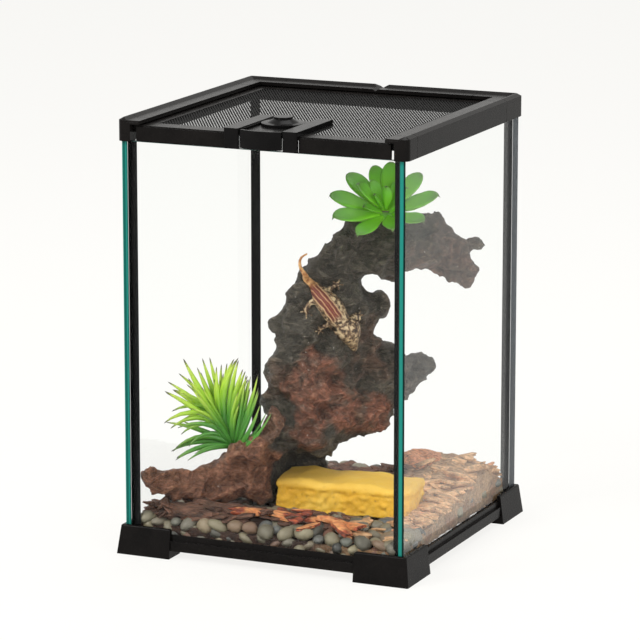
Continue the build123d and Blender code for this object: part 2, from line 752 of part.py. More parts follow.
with BuildPart() as grass:
    with Locations(grass_base + up * hub_r / 2):
        Cylinder(hub_r * 0.8, hub_r)
    with Locations(hub_centre):
        Sphere(hub_r)
    add(blades)
    free_space(bed_seat_z, bead_top_z)
keep(grass.part, "grass_plant")

# ---------------------------------------------------------------- gecko figure
gecko_off = -(wood_face + seat_gap)
spine = (
    (-11, 201, 0.7, 0.7), (-16, 196, 1.1, 1.0), (-14, 188, 1.6, 1.5), (-6, 177, 2.2, 2.2),
    (-1, 169, 4.6, 3.6), (4, 161, 6.4, 4.4), (8, 152, 4.8, 3.6), (11, 146, 6.8, 4.2), (17, 134, 2.0, 1.8),
)
legs = (
    ((-3, 172), (7, 174), (14, 178)),
    ((-3, 171), (-12, 168), (-15, 160)),
    ((8, 152), (20, 152), (26, 156)),
    ((7, 151), (-2, 147), (-3, 140)),
)
gecko_limbs = [
    limb(
        [(wood_point(x, z, gecko_off - height), height, width) for x, z, width, height in spine],
        wood_across,
        sides=8,
        bump=0.0,
    )
]
for leg in legs:
    leg_stations = []
    for (x, z), thick in zip(leg, (1.8, 1.3, 1.2)):
        leg_stations.append((wood_point(x, z, gecko_off - thick), thick, thick))
    gecko_limbs.append(limb(leg_stations, wood_across, sides=6, bump=0.0))
with BuildPart() as gecko:
    add(gecko_limbs)
keep(gecko.part, "gecko_figure")

# ---------------------------------------------------------------- gravel bed
bed_x = inner_x - seat_gap
bed_y = inner_y - seat_gap
heap_x = (-24.0, 28.0)
pebble_z = bed_top_z - pebble_sink
row_y = (-(bed_y - pebble_r - fit), -(bed_y - pebble_r - fit) + pebble_pitch)
columns = int((2 * bed_x - 2 * bead_leg - 2 * pebble_r) / pebble_pitch)
pebbles = []
for row, y in enumerate(row_y):
    for k in range(columns + 1 - row):
        x = (k - (columns - row) / 2) * pebble_pitch
        if row == 0 or not heap_x[0] - pebble_r < x < heap_x[1] + pebble_r:
            pebbles.append((x, y, pebble_z))
with BuildPart() as bed:
    block((-bed_x, -bed_y, floor_z + fit), (bed_x, bed_y, bed_top_z))
    chamfer(bed.edges().filter_by(Axis.Z), bead_leg + seat_gap)
    chamfer(bed.faces().sort_by(Axis.Z)[0].edges(), base_bead_leg + seat_gap)
    with Locations(pebbles):
        Sphere(pebble_r)
    block((-bed_x, -bed_y, floor_z), (bed_x, bed_y, bed_top_z + pebble_r), Mode.INTERSECT)
keep(bed.part, "gravel_bed")

# ---------------------------------------------------------------- bark chips
chip_pitch_x = chip_length * 1.16
chip_pitch_y = chip_length * 0.34 + chip_width * 0.95
heaps = (
    # middle of the heap, then columns and rows of each layer
    ((2.0, -inner_y + 25.5), ((2, 1),)),
    ((inner_x - 31.5, inner_y - 41.5), ((3, 5), (3, 4), (2, 3), (1, 2))),
    ((inner_x - 8.5, -20.0), ((1, 3),)),
)
chip_outline = ((-0.5, -0.3), (-0.1, -0.5), (0.5, -0.35), (0.42, 0.25), (0.05, 0.5), (-0.4, 0.4))
chips = []
turn_seed = 0
for (mid_x, mid_y), layers in heaps:
    for level, (across_count, deep_count) in enumerate(layers):
        z = bed_seat_z + level * (chip_t + seat_gap)
        with GridLocations(chip_pitch_x, chip_pitch_y, across_count, deep_count) as grid:
            spots = [location.position for location in grid.locations]
        for spot in spots:
            turn_seed += 1
            chips.append((mid_x + spot.X, mid_y + spot.Y, z, 18 * sin(2.4 * turn_seed)))
with BuildPart() as chip:
    with BuildSketch(Plane.XY):
        Polygon(*[(chip_length * u, chip_width * v) for u, v in chip_outline])
    extrude(amount=chip_t, taper=12)
placed_chips = [chip.part.moved(Location((x, y, z), (0, 0, turn))) for x, y, z, turn in chips]
with BuildPart() as bark:
    add(placed_chips)
    free_space(bed_top_z, bead_top_z)
keep(bark.part, "bark_chips")

print("terrarium built:", len(os.listdir("parts")), "pieces")
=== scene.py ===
# %% [markdown]
# # A glass terrarium, dressed
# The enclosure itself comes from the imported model: panes, mouldings, lid, latch. This notebook gives those
# pieces their finishes and models what a maker would call the dressing: the fine wire net, the weathered
# wood, two plastic plants, a gecko figure, a cast ledge, pebbles and bark.
#
# Everything is in metres, and MM turns millimetres into them. The front is -Y and up is +Z.

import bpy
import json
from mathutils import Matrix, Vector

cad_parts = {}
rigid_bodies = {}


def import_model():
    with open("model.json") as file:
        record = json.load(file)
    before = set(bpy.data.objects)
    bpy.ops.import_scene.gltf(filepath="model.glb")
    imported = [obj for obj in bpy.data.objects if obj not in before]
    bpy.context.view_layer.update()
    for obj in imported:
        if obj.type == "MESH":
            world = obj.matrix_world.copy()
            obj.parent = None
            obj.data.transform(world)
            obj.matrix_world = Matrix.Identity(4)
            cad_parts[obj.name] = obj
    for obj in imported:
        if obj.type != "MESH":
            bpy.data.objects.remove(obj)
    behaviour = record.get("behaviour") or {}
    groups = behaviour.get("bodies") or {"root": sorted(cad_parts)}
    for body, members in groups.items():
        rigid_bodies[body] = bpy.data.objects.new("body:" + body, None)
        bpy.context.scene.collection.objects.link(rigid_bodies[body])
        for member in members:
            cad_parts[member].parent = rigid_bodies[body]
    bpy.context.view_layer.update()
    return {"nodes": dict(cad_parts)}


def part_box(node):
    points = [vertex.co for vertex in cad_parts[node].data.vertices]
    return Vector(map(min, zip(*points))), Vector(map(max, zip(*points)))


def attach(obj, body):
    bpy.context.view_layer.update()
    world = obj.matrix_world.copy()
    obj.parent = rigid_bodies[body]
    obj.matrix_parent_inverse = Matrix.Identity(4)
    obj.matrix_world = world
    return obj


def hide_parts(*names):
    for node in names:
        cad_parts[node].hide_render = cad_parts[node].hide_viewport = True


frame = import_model()

# %% Modules and the millimetre
import json
import math
import random

import bpy
from mathutils import Matrix, Vector
from mathutils.bvhtree import BVHTree

MM = 0.001

# %% [markdown]
# ## Camera
# A product picture like this is taken from far away with a long lens, so the box's upright edges stay
# almost parallel. The direction, distance and lens below keep its corners where the picture has them.


# %% Camera
def linked(name, data):
    """A new object with this data, in the scene."""
    piece = bpy.data.objects.new(name, data)
    bpy.context.scene.collection.objects.link(piece)
    return piece


AZIMUTH, ELEVATION = math.radians(23.78), math.radians(12.23)
TARGET = Vector((-2.6, -1.145, 149.6)) * MM
DISTANCE = 2.5406
towards_camera = Vector((
    math.sin(AZIMUTH) * math.cos(ELEVATION),
    -math.cos(AZIMUTH) * math.cos(ELEVATION),
    math.sin(ELEVATION),
))
camera_data = bpy.data.cameras.new("camera")
camera_data.lens = 209.39
camera_data.sensor_width = 36.0
camera = linked("camera", camera_data)
camera.location = TARGET + towards_camera * DISTANCE
camera.rotation_euler = (-towards_camera).to_track_quat("-Z", "Y").to_euler()
bpy.context.scene.camera = camera
bpy.context.scene.view_settings.view_transform = "Standard"
print("camera at", [round(v, 3) for v in camera.location])

# %% [markdown]
# ## Small helpers for materials
# Each finish is a Principled shader fed by a few nodes. `paint` turns the numbers that a colour picker
# shows into the linear values that Blender's sockets take. `add_node` keeps each node on one line.


# %% Material helpers
def paint(red, green, blue):
    """A colour from 0 to 255, as a picker shows it, in linear light."""
    linear = []
    for value in (red, green, blue):
        share = value / 255
        linear.append(share / 12.92 if share <= 0.04045 else ((share + 0.055) / 1.055) ** 2.4)
    return tuple(linear)


def scaled(color, share):
    return tuple(share * c for c in color)


def new_material(name, color=(128, 128, 128), roughness=0.5, **sockets):
    """A material with one Principled shader. Returns the material and the shader."""
    made = bpy.data.materials.new(name)
    made.use_nodes = True
    shader = made.node_tree.nodes["Principled BSDF"]
    shader.inputs["Base Color"].default_value = (*paint(*color), 1)
    shader.inputs["Roughness"].default_value = roughness
    for socket, value in sockets.items():
        shader.inputs[socket.replace("_", " ")].default_value = value
    return made, shader


def add_node(made, kind, inputs=None, **settings):
    """One node. Its inputs are numbers, or sockets of other nodes to join to."""
    node = made.node_tree.nodes.new(f"ShaderNode{kind}")
    for key, value in settings.items():
        setattr(node, key, value)
    for key, value in (inputs or {}).items():
        if isinstance(value, bpy.types.NodeSocket):
            made.node_tree.links.new(value, node.inputs[key])
        else:
            node.inputs[key].default_value = value
    return node


def join_socket(made, output, socket):
    made.node_tree.links.new(output, socket)


def color_with(made, shader, tone):
    join_socket(made, tone, shader.inputs["Base Color"])


def place(made):
    """The piece's own coordinates, in metres."""
    return add_node(made, "TexCoord").outputs["Object"]


def stretched(made, scale, rotation=(0, 0, 0)):
    """The piece's coordinates, scaled and turned, to draw a noise out along a direction."""
    inputs = {"Vector": place(made), "Scale": scale, "Rotation": rotation}
    return add_node(made, "Mapping", inputs).outputs["Vector"]


def noise_of(made, scale, detail=4.0, rough=0.55, vector=None, distortion=0.0):
    """A noise field. The scale is in waves per metre."""
    inputs = {"Scale": scale, "Detail": detail, "Roughness": rough, "Distortion": distortion}
    inputs["Vector"] = place(made) if vector is None else vector
    return add_node(made, "TexNoise", inputs).outputs["Fac"]


def ramp(made, factor, *stops):
    """A colour ramp through (position, colour) stops."""
    node = add_node(made, "ValToRGB", {"Fac": factor})
    elements = node.color_ramp.elements
    while len(elements) < len(stops):
        elements.new(1.0)
    for element, (position, color) in zip(elements, stops):
        element.position = position
        element.color = (*paint(*color), 1)
    return node.outputs["Color"]


def math_of(made, operation, first, second=0.0, clamp=False):
    node = add_node(made, "Math", {0: first, 1: second}, operation=operation)
    node.use_clamp = clamp
    return node.outputs["Value"]


def times(made, first, second):
    return math_of(made, "MULTIPLY", first, second)


def stirred(made, value, cloud, amount):
    """A value moved up and down by a cloud of mean 0.5."""
    return math_of(made, "ADD", value, times(made, math_of(made, "SUBTRACT", cloud, 0.5), amount))


def vector_of(made, operation, first, second, output="Vector"):
    return add_node(made, "VectorMath", {0: first, 1: second}, operation=operation).outputs[output]


def parts_of(made, vector):
    """The three numbers of a vector."""
    return add_node(made, "SeparateXYZ", {"Vector": vector}).outputs


def uv_of(made):
    """The two numbers of the piece's own UV map: round it and along it."""
    return parts_of(made, add_node(made, "TexCoord").outputs["UV"])


def remap(made, value, low, high, to_low=0.0, to_high=1.0):
    """A value taken from one range to another, and held inside it."""
    inputs = {"Value": value, 1: low, 2: high, 3: to_low, 4: to_high}
    return add_node(made, "MapRange", inputs).outputs["Result"]


def each_island(made):
    """A number from 0 to 1 for each loose part of a mesh."""
    return add_node(made, "NewGeometry").outputs["Random Per Island"]


def blend_colors(made, factor, first, second, how="MIX"):
    """Mixes two colours or colour sockets by a factor."""
    node = add_node(made, "Mix", data_type="RGBA", blend_type=how)
    for socket, value in ((node.inputs[0], factor), (node.inputs[6], first), (node.inputs[7], second)):
        if isinstance(value, bpy.types.NodeSocket):
            made.node_tree.links.new(value, socket)
        elif isinstance(value, tuple):
            socket.default_value = (*paint(*value), 1)
        else:
            socket.default_value = value
    return node.outputs[2]


def mix_to_surface(made, output_node, factor, first, second):
    """Mixes two shaders and joins them to the surface."""
    mixed = add_node(made, "MixShader", {0: factor, 1: first.outputs[0], 2: second.outputs[0]})
    join_socket(made, mixed.outputs[0], made.node_tree.nodes[output_node].inputs["Surface"])


def bump(made, shader, height, distance, strength=1.0, normal=None):
    """Fine relief in the shading. The distance is the height of a full step, in metres."""
    inputs = {"Height": height, "Distance": distance, "Strength": strength}
    if normal is not None:
        inputs["Normal"] = normal
    node = add_node(made, "Bump", inputs)
    join_socket(made, node.outputs["Normal"], shader.inputs["Normal"])


# %% [markdown]
# ## Black mouldings
# The frame, lid and feet are injection moulded with a fine spark-eroded grain. Fresh mouldings are never
# pure black: the grain scatters a little light, edges are slightly round, and flat faces carry faint cloudy
# gloss. A Bevel node rounds the edges in the shading, because the solids have sharp ones.

# %% Moulded black plastic
def moulded_black(name, color, roughness):
    made, shader = new_material(name, color, roughness, IOR=1.45, Specular_IOR_Level=0.065)
    cloud = noise_of(made, 60, 3.0)
    tone = ramp(made, cloud, (0.3, scaled(color, 0.8)), (0.7, scaled(color, 1.2)))
    color_with(made, shader, tone)
    gloss = remap(made, noise_of(made, 240, 5.0), 0.0, 1.0, roughness - 0.06, roughness + 0.08)
    join_socket(made, gloss, shader.inputs["Roughness"])
    rounded = add_node(made, "Bevel", {"Radius": 0.5 * MM}, samples=4)
    bump(made, shader, noise_of(made, 2600, 2.0), 0.02 * MM, 0.12, rounded.outputs["Normal"])
    return made


frame_plastic = moulded_black("frame_plastic", (19, 17, 16), 0.26)
latch_plastic = moulded_black("latch_plastic", (16, 15, 15), 0.24)

# %% [markdown]
# ## Glass
# Each pane is a thin solid. What shows is the background through its faces, a pale film where a face is
# seen at a low angle, and the deep blue-green of its cut edges, where light has travelled a long way
# through the glass. The faces are a see-through shader mixed with a mirror. Layer Weight's Facing is the
# same on both sides of a pane, so it suits glass whose light isn't bent. The edges get their own colour,
# told from the faces by the direction that they point in.


# %% Pane glass
PANE_INSIDE, PANE_OUTSIDE = 97.5 * MM, 101.5 * MM


def pane_glass(name, face_axis, stops, hidden_tone):
    """Clear on the faces that point along face_axis. Stops colour the cut edges across their thickness."""
    made, edge = new_material(name, stops[1][1], 0.2, IOR=1.5, Specular_IOR_Level=0.12)
    normal = add_node(made, "NewGeometry").outputs["Normal"]
    parts = parts_of(made, normal)
    flat = math_of(made, "GREATER_THAN", math_of(made, "ABSOLUTE", parts[face_axis]), 0.5)
    spot = parts_of(made, place(made))
    across = math_of(made, "ABSOLUTE", spot[0])
    depth = remap(made, across, PANE_INSIDE, PANE_OUTSIDE)
    streak = noise_of(made, 14, 3.0)
    depth = stirred(made, depth, streak, 0.12)
    tint = ramp(made, depth, *stops)
    # the side panes' rear edges, and the upright edges that are glued to another pane
    if face_axis == 0:
        hidden = math_of(made, "GREATER_THAN", spot[1], 50 * MM)
    else:
        hidden = math_of(made, "GREATER_THAN", math_of(made, "ABSOLUTE", parts[0]), 0.5)
    tint = blend_colors(made, hidden, tint, hidden_tone)
    color_with(made, edge, tint)
    clear = add_node(made, "BsdfTransparent", {"Color": (0.997, 1.0, 0.998, 1)})
    mirror = add_node(made, "BsdfGlossy", {"Color": (1, 1, 1, 1), "Roughness": 0.02})
    facing = add_node(made, "LayerWeight", {"Blend": 0.5}).outputs["Facing"]
    low_haze = remap(made, spot[2], 40 * MM, 90 * MM, 0.34, 0.19)
    film = times(made, math_of(made, "POWER", facing, 3.0), low_haze)
    film = math_of(made, "ADD", film, 0.004)
    rear = remap(made, spot[1], 30 * MM, 90 * MM, 1.0, 0.5)
    film = math_of(made, "MULTIPLY", film, rear, clamp=True)
    face = add_node(made, "MixShader", {0: film, 1: clear.outputs[0], 2: mirror.outputs[0]})
    mix_to_surface(made, "Material Output", flat, edge, face)
    return made


DARK_EDGE, TEAL, PALE_TEAL = (0, 26, 24), (3, 80, 72), (28, 124, 112)
left_edge = ((0.0, DARK_EDGE), (0.1, TEAL), (0.35, PALE_TEAL), (0.55, TEAL), (0.8, TEAL),
             (1.0, PALE_TEAL))
right_edge = ((0.0, TEAL), (0.15, PALE_TEAL), (0.6, PALE_TEAL), (0.72, DARK_EDGE), (1.0, DARK_EDGE))
pale_edge = ((0.0, (110, 150, 142)), (1.0, (170, 200, 192)))
left_glass = pane_glass("left_glass", 0, left_edge, (104, 108, 112))
right_glass = pane_glass("right_glass", 0, right_edge, (104, 108, 112))
front_glass = pane_glass("front_glass", 1, pale_edge, (10, 12, 12))
floor_glass = pane_glass("floor_glass", 2, ((0.0, TEAL), (1.0, DARK_EDGE)), (10, 12, 12))
print("glass edge colour, linear:", [round(v, 3) for v in paint(*TEAL)])

# %% [markdown]
# ## Sealant
# The beads in the corners are black silicone: smooth, a little glossy, with faint waves along the tooled
# surface.

# %% Black sealant
sealant, sealant_shader = new_material("sealant", (9, 10, 10), 0.34, Specular_IOR_Level=0.15)
wave_height = noise_of(sealant, 260, 2.0, vector=stretched(sealant, (1, 1, 0.25)))
bump(sealant, sealant_shader, wave_height, 0.3 * MM, 0.5)
sealant_tone = ramp(sealant, noise_of(sealant, 90), (0.35, (6, 7, 7)), (0.7, (15, 16, 17)))
color_with(sealant, sealant_shader, sealant_tone)

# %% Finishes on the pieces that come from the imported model
finish_of = {
    "glass_left": left_glass, "glass_right": right_glass, "glass_front": front_glass,
    "glass_back": front_glass, "glass_bottom": floor_glass,
    "silicone_corner_beads": sealant, "silicone_base_bead": sealant,
    "latch_housing": latch_plastic, "latch_flap": latch_plastic,
    "hatch_door": latch_plastic, "hatch_knob": latch_plastic,
}
for node_name, node_object in frame["nodes"].items():
    for material_slot in node_object.material_slots:
        material_slot.material = finish_of.get(node_name, frame_plastic)
print("finishes set on", len(frame["nodes"]), "nodes")

# %% [markdown]
# ## Small helpers for modelling
# `pick` selects parts of a mesh by where they are, `press` applies a modifier, `scatter` copies a shape to
# many places, each copy with its own mesh, and `settle` gives a finished piece its material and its body.
# Everything is deselected first, because an operator works on all that is selected.


# %% Modelling helpers
def deselect():
    for item in bpy.context.selected_objects:
        item.select_set(False)


def activate(piece):
    deselect()
    piece.select_set(True)
    bpy.context.view_layer.objects.active = piece


def edit(piece):
    activate(piece)
    bpy.ops.object.mode_set(mode="EDIT")


def leave_edit():
    bpy.ops.object.mode_set(mode="OBJECT")


def new_shape(kind, name, **settings):
    """Adds a primitive with nothing else selected, and bakes its scale and place into its mesh."""
    deselect()
    getattr(bpy.ops.mesh, f"primitive_{kind}_add")(**settings)
    piece = bpy.context.object
    piece.name = name
    bpy.ops.object.transform_apply(location=True, rotation=True, scale=True)
    return piece


def press(piece, kind, **settings):
    """Adds a modifier with these settings and applies it."""
    activate(piece)
    modifier = piece.modifiers.new(kind.lower(), kind)
    for key, value in settings.items():
        setattr(modifier, key, value)
    bpy.ops.object.modifier_apply(modifier=modifier.name)


def pick(piece, test):
    """Selects the vertices that pass the test, in edit mode."""
    edit(piece)
    bpy.ops.mesh.select_mode(type="VERT")
    bpy.ops.mesh.select_all(action="DESELECT")
    leave_edit()
    for vertex in piece.data.vertices:
        vertex.select = test(vertex.co)
    bpy.ops.object.mode_set(mode="EDIT")


def resize_part(piece, test, value, center):
    """Scales the vertices that pass the test about a point."""
    pick(piece, test)
    bpy.ops.transform.resize(value=value, center_override=center)
    leave_edit()


def move_part(piece, test, value):
    pick(piece, test)
    bpy.ops.transform.translate(value=value)
    leave_edit()


def edit_all(piece):
    """Edit mode, with the whole mesh selected."""
    edit(piece)
    bpy.ops.mesh.select_all(action="SELECT")


def tidy_mesh(piece, merge=0.01 * MM):
    """Merges doubled points and turns all faces outwards."""
    edit_all(piece)
    bpy.ops.mesh.remove_doubles(threshold=merge)
    bpy.ops.mesh.normals_make_consistent(inside=False)
    leave_edit()


def smooth(piece, angle=None):
    """Smooth shading, all over, or where faces meet at less than the angle in degrees."""
    activate(piece)
    if angle is None:
        bpy.ops.object.shade_smooth()
    else:
        bpy.ops.object.shade_smooth_by_angle(angle=math.radians(angle))


def reskin(piece, voxel, factor, iterations):
    """One even skin over all that overlaps, smoothed."""
    press(piece, "REMESH", mode="VOXEL", voxel_size=voxel)
    press(piece, "SMOOTH", factor=factor, iterations=iterations)


def copy_of_node(node_name, name):
    """A merged copy of a solid, free of its body, to work from."""
    piece = linked(name, frame["nodes"][node_name].data.copy())
    piece.data.materials.clear()
    tidy_mesh(piece)
    return piece


def join_pieces(pieces, name):
    activate(pieces[0])
    for piece in pieces[1:]:
        piece.select_set(True)
    bpy.ops.object.join()
    joined = bpy.context.object
    joined.name = name
    return joined


def scatter(masters, placements, name):
    """Copies of the masters, one for each (master number, matrix), joined to one piece."""
    copies = []
    for number, matrix in placements:
        mesh = masters[number].data.copy()
        mesh.transform(matrix)
        copies.append(linked(name, mesh))
    return join_pieces(copies, name)


def dent(piece, texture, strength, shift):
    """Roughens a master by the part of a cloud that lies at a shift along X, so that no two are alike."""
    move_part(piece, lambda co: True, (shift, 0, 0))
    press(piece, "DISPLACE", texture=texture, strength=strength, mid_level=0.5, texture_coords="LOCAL")
    move_part(piece, lambda co: True, (-shift, 0, 0))


def drop(pieces):
    for piece in pieces:
        bpy.data.objects.remove(piece)


def settle(piece, finish, body, slot, *nodes):
    """Gives a finished piece its material and the body it rides on, and hides the solids it stands for. The
    slot is not used.
    """
    piece.data.materials.clear()
    piece.data.materials.append(finish)
    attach(piece, body)
    if nodes:
        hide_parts(*nodes)
    print(piece.name, "faces:", len(piece.data.polygons), "body:", body)


def turned(x=0.0, y=0.0, z=0.0):
    """A turn about X, then Y, then Z, in degrees."""
    matrix = Matrix.Rotation(math.radians(z), 4, "Z") @ Matrix.Rotation(math.radians(y), 4, "Y")
    return matrix @ Matrix.Rotation(math.radians(x), 4, "X")


def frame_of(along, side, normal):
    """The turn that lays X, Y and Z along three directions."""
    return Matrix((along, side, normal)).transposed().to_4x4()


def held(value, low, high):
    return min(max(value, low), high)


# %% [markdown]
# ## Wire net
# The lid's screen is a woven net of thin coated wire, so fine that at a low angle it looks like black cloth
# with diagonal lines. The solids only hold a coarse plate. Here it is real wires: one long bar is copied
# side by side in two crossing layers, and the sheet is cut to the lid's window with bisect, once for each
# of the three rectangles around the latch.

# %% Wire net
net_low, net_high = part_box("screen_mesh")
housing_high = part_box("latch_housing")[1]
NET_PITCH = 1.83 * MM
notch_x = housing_high[0] + 0.2 * MM
net_middle = Vector(((net_low[0] + net_high[0]) / 2, (net_low[1] + net_high[1]) / 2, 0))


def cut_to(piece, low, high):
    """Cuts a closed mesh to a rectangle in plan."""
    edit(piece)
    for point, normal in (
        ((low[0], 0, 0), (-1, 0, 0)), ((high[0], 0, 0), (1, 0, 0)),
        ((0, low[1], 0), (0, -1, 0)), ((0, high[1], 0), (0, 1, 0)),
    ):
        bpy.ops.mesh.select_all(action="SELECT")
        bpy.ops.mesh.bisect(plane_co=point, plane_no=normal, use_fill=True, clear_outer=True)
    leave_edit()


def net_layer(name, angle, width, thickness, lift, low, high):
    """One family of parallel wires, cut to a rectangle. Width, thickness and lift are in mm."""
    wire = new_shape("cube", "wire", size=1, scale=(260 * MM, width * MM, thickness * MM))
    middle = net_middle + Vector((0, 0, net_low[2] + lift * MM))
    count = int(120 * MM / NET_PITCH)
    wires = []
    for k in range(-count, count + 1):
        shift = Matrix.Translation((0, k * NET_PITCH, 0))
        wires.append((0, Matrix.Translation(middle) @ turned(z=angle) @ shift))
    layer = scatter([wire], wires, name)
    drop([wire])
    cut_to(layer, low, high)
    return layer


net_parts = []
for name, low, high in (
    ("left", (net_low[0], net_low[1]), (-notch_x, net_high[1])),
    ("back", (-notch_x, housing_high[1]), (notch_x, net_high[1])),
    ("right", (notch_x, net_low[1]), (net_high[0], net_high[1])),
):
    net_parts.append(net_layer(f"warp_{name}", -60, 1.12, 0.34, 0.45, low, high))
    net_parts.append(net_layer(f"weft_{name}", 0, 0.16, 0.1, 0.2, low, high))
wire_net = join_pieces(net_parts, "wire_net")
net_coat, net_shader = new_material("net_coat", (8, 7, 7), 0.6, Specular_IOR_Level=0.05)
net_tone = ramp(net_coat, noise_of(net_coat, 300, 3.0), (0.35, (4, 4, 4)), (0.7, (12, 11, 11)))
color_with(net_coat, net_shader, net_tone)
settle(wire_net, net_coat, "lid", "mesh_black", "screen_mesh")
# a dark strip fills the joint beside the housing, where light would show through
joint_shade = new_shape("cube", "joint_shade", size=1, scale=(0.5 * MM, 3 * MM, 8.6 * MM),
                        location=(housing_high[0] + 0.15 * MM, -98.5 * MM, 287.5 * MM))
settle(joint_shade, latch_plastic, "lid", "frame_black")

# %% [markdown]
# ## Weathered wood
# Root wood has no straight lines: it is lumpy at the scale of a fist, ridged at the scale of a finger, and
# rough to the touch. The solid gives the big forms. Rows of spheres swell the ridge in front of the grass
# and the trunk's foot. A voxel remesh welds all of it into one even skin, and a stack of Displace
# modifiers, most of them with a finer cloud than the last, makes lumps, ridges and pits.

# %% The skin of the wood
wood = copy_of_node("driftwood", "weathered_wood")
# x, y, z and radius in mm, along the ridge in front of the grass and the trunk's foot behind the ledge
SWELLING_LINES = (
    ((-70, -60, 46, 5), (-57, -58, 50, 6), (-45, -57, 58.5, 6.5), (-31, -57, 70, 7), (-20, -56, 82, 7.5),
     (-8, -50, 93, 8)),
    ((-31, 3, 50, 9), (-14, 9, 50, 8), (-6, 10, 50, 7)),
)
SWELLING_STEPS = 4
swellings = []
for line in SWELLING_LINES:
    for (*start, start_radius), (*end, end_radius) in zip(line, line[1:]):
        for step in range(SWELLING_STEPS):
            share = step / SWELLING_STEPS
            radius = (start_radius + (end_radius - start_radius) * step / SWELLING_STEPS) * MM
            swellings.append(new_shape("ico_sphere", "swelling", subdivisions=2, radius=radius,
                                       location=Vector(start).lerp(Vector(end), share) * MM))
wood = join_pieces([wood, *swellings], "weathered_wood")
reskin(wood, 2.6 * MM, 0.6, 3)


def cloud_texture(name, kind, scale, **settings):
    texture = bpy.data.textures.new(name, kind)
    texture.noise_scale = scale
    for key, value in settings.items():
        setattr(texture, key, value)
    return texture


def roughen(piece, name, kind, scale, strength, middle=0.5, **settings):
    """Moves the skin in and out by a cloud of this scale, in metres."""
    texture = cloud_texture(name, kind, scale, **settings)
    press(piece, "DISPLACE", texture=texture, strength=strength, mid_level=middle, texture_coords="LOCAL")


roughen(wood, "lumps", "CLOUDS", 26 * MM, 13 * MM, 0.5)
roughen(wood, "lobes", "VORONOI", 21 * MM, -8 * MM, 0.45)
press(wood, "REMESH", mode="VOXEL", voxel_size=1.4 * MM)
roughen(wood, "ridges", "MUSGRAVE", 17 * MM, 3.4 * MM, 0.9, musgrave_type="RIDGED_MULTIFRACTAL",
        octaves=3.0)
roughen(wood, "knots", "STUCCI", 8 * MM, 2.8 * MM, 0.5, turbulence=8.0)
press(wood, "SMOOTH", factor=0.5, iterations=1)
roughen(wood, "pits", "CLOUDS", 3.6 * MM, 1.1 * MM, 0.5, noise_type="HARD_NOISE")

# %% Keep the wood between the panes and above the floor
WALL = 97.0 * MM
floor_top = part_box("glass_bottom")[1][2]


def keep_inside(piece, lowest):
    """Flattens what would cut through a pane, or lies below a height."""
    for vertex in piece.data.vertices:
        vertex.co.x = held(vertex.co.x, -WALL, WALL)
        vertex.co.y = held(vertex.co.y, -WALL, WALL)
        vertex.co.z = max(vertex.co.z, lowest)


keep_inside(wood, floor_top + 8 * MM)
smooth(wood)
wood_skin = BVHTree.FromObject(wood, bpy.context.evaluated_depsgraph_get())
print("wood faces:", len(wood.data.polygons))

# %% [markdown]
# The colour follows the shape. Weather has greyed the upper side and the low parts are stained red-brown.
# Orange-brown patches are partly the wood's own colour and partly painted light on lit lumps. Hollows get
# painted shade, and ridges and raised lines painted light, told apart by Pointiness. White specks are
# painted glints.

# %% Wood finish
bark_wood, wood_shader = new_material("bark_wood", (96, 76, 62), 0.5, Specular_IOR_Level=0.4)
spot = place(bark_wood)
warp = add_node(bark_wood, "TexNoise", {"Vector": spot, "Scale": 55.0, "Detail": 3.0}).outputs["Color"]
warp = vector_of(bark_wood, "SUBTRACT", warp, (0.5, 0.5, 0.5))
warp = vector_of(bark_wood, "MULTIPLY", warp, (0.05, 0.05, 0.05))
warped = vector_of(bark_wood, "ADD", spot, warp)


def patch(center, inner, outer):
    """1 within the inner radius of a point and 0 beyond the outer one, in mm, with a ragged edge."""
    span = vector_of(bark_wood, "DISTANCE", warped, tuple(c * MM for c in center), "Value")
    return remap(bark_wood, span, outer * MM, inner * MM)


def ridge_lines(scale, vector, width):
    """Thin lines, 1 at their middle, where a swirled cloud crosses its mean."""
    cloud = noise_of(bark_wood, scale, 3.0, 0.5, vector, 2.4)
    span = math_of(bark_wood, "ABSOLUTE", math_of(bark_wood, "SUBTRACT", cloud, 0.5))
    return remap(bark_wood, span, 0.0, width, 1.0, 0.0)


fibre_place = stretched(bark_wood, (0.75, 0.75, 1.3), (0.2, 0.75, 0))
grain = noise_of(bark_wood, 170, 8.0, 0.66, fibre_place, 1.8)
ropes = ridge_lines(52, fibre_place, 0.045)
threads = ridge_lines(130, fibre_place, 0.05)
dark_wood = ramp(bark_wood, grain, (0.3, (38, 35, 29)), (0.46, (70, 65, 56)), (0.58, (92, 85, 74)),
                 (0.72, (134, 124, 108)))
red_wood = ramp(bark_wood, grain, (0.3, (62, 40, 30)), (0.46, (118, 78, 58)), (0.58, (148, 102, 78)),
                (0.72, (194, 150, 118)))
orange_and_lit_wood = ramp(bark_wood, grain, (0.3, (70, 42, 32)), (0.45, (124, 78, 60)), (0.57, (156, 102, 80)),
                   (0.72, (206, 156, 126)))
# middle, inner and outer radius in mm, and strength, of the stained places
RED_PLACES = (
    ((-70, -68, 40), 36, 46, 1.0), ((-32, -50, 52), 20, 28, 1.0), ((-28, -57, 74), 12, 20, 1.0),
    ((-12, -54, 92), 10, 18, 0.7),
)
# the orange-brown places: partly the wood's own colour, partly painted light where lumps catch the lamps
ORANGE_AND_LIT_PLACES = (
    ((4, -28, 108), 18, 26, 1.0), ((38, 4, 80), 12, 20, 1.0), ((2, -30, 78), 10, 16, 1.0),
    ((20, -14, 92), 13, 20, 1.0), ((38, 0, 126), 10, 26, 0.35), ((-20, -46, 110), 10, 24, 0.3),
    ((78, 40, 170), 30, 50, 0.3),
)


def patches(places):
    """The strongest of several patches."""
    mask = 0.0
    for center, inner, outer, strength in places:
        mask = math_of(bark_wood, "MAXIMUM", mask,
                       times(bark_wood, patch(center, inner, outer), strength))
    return mask


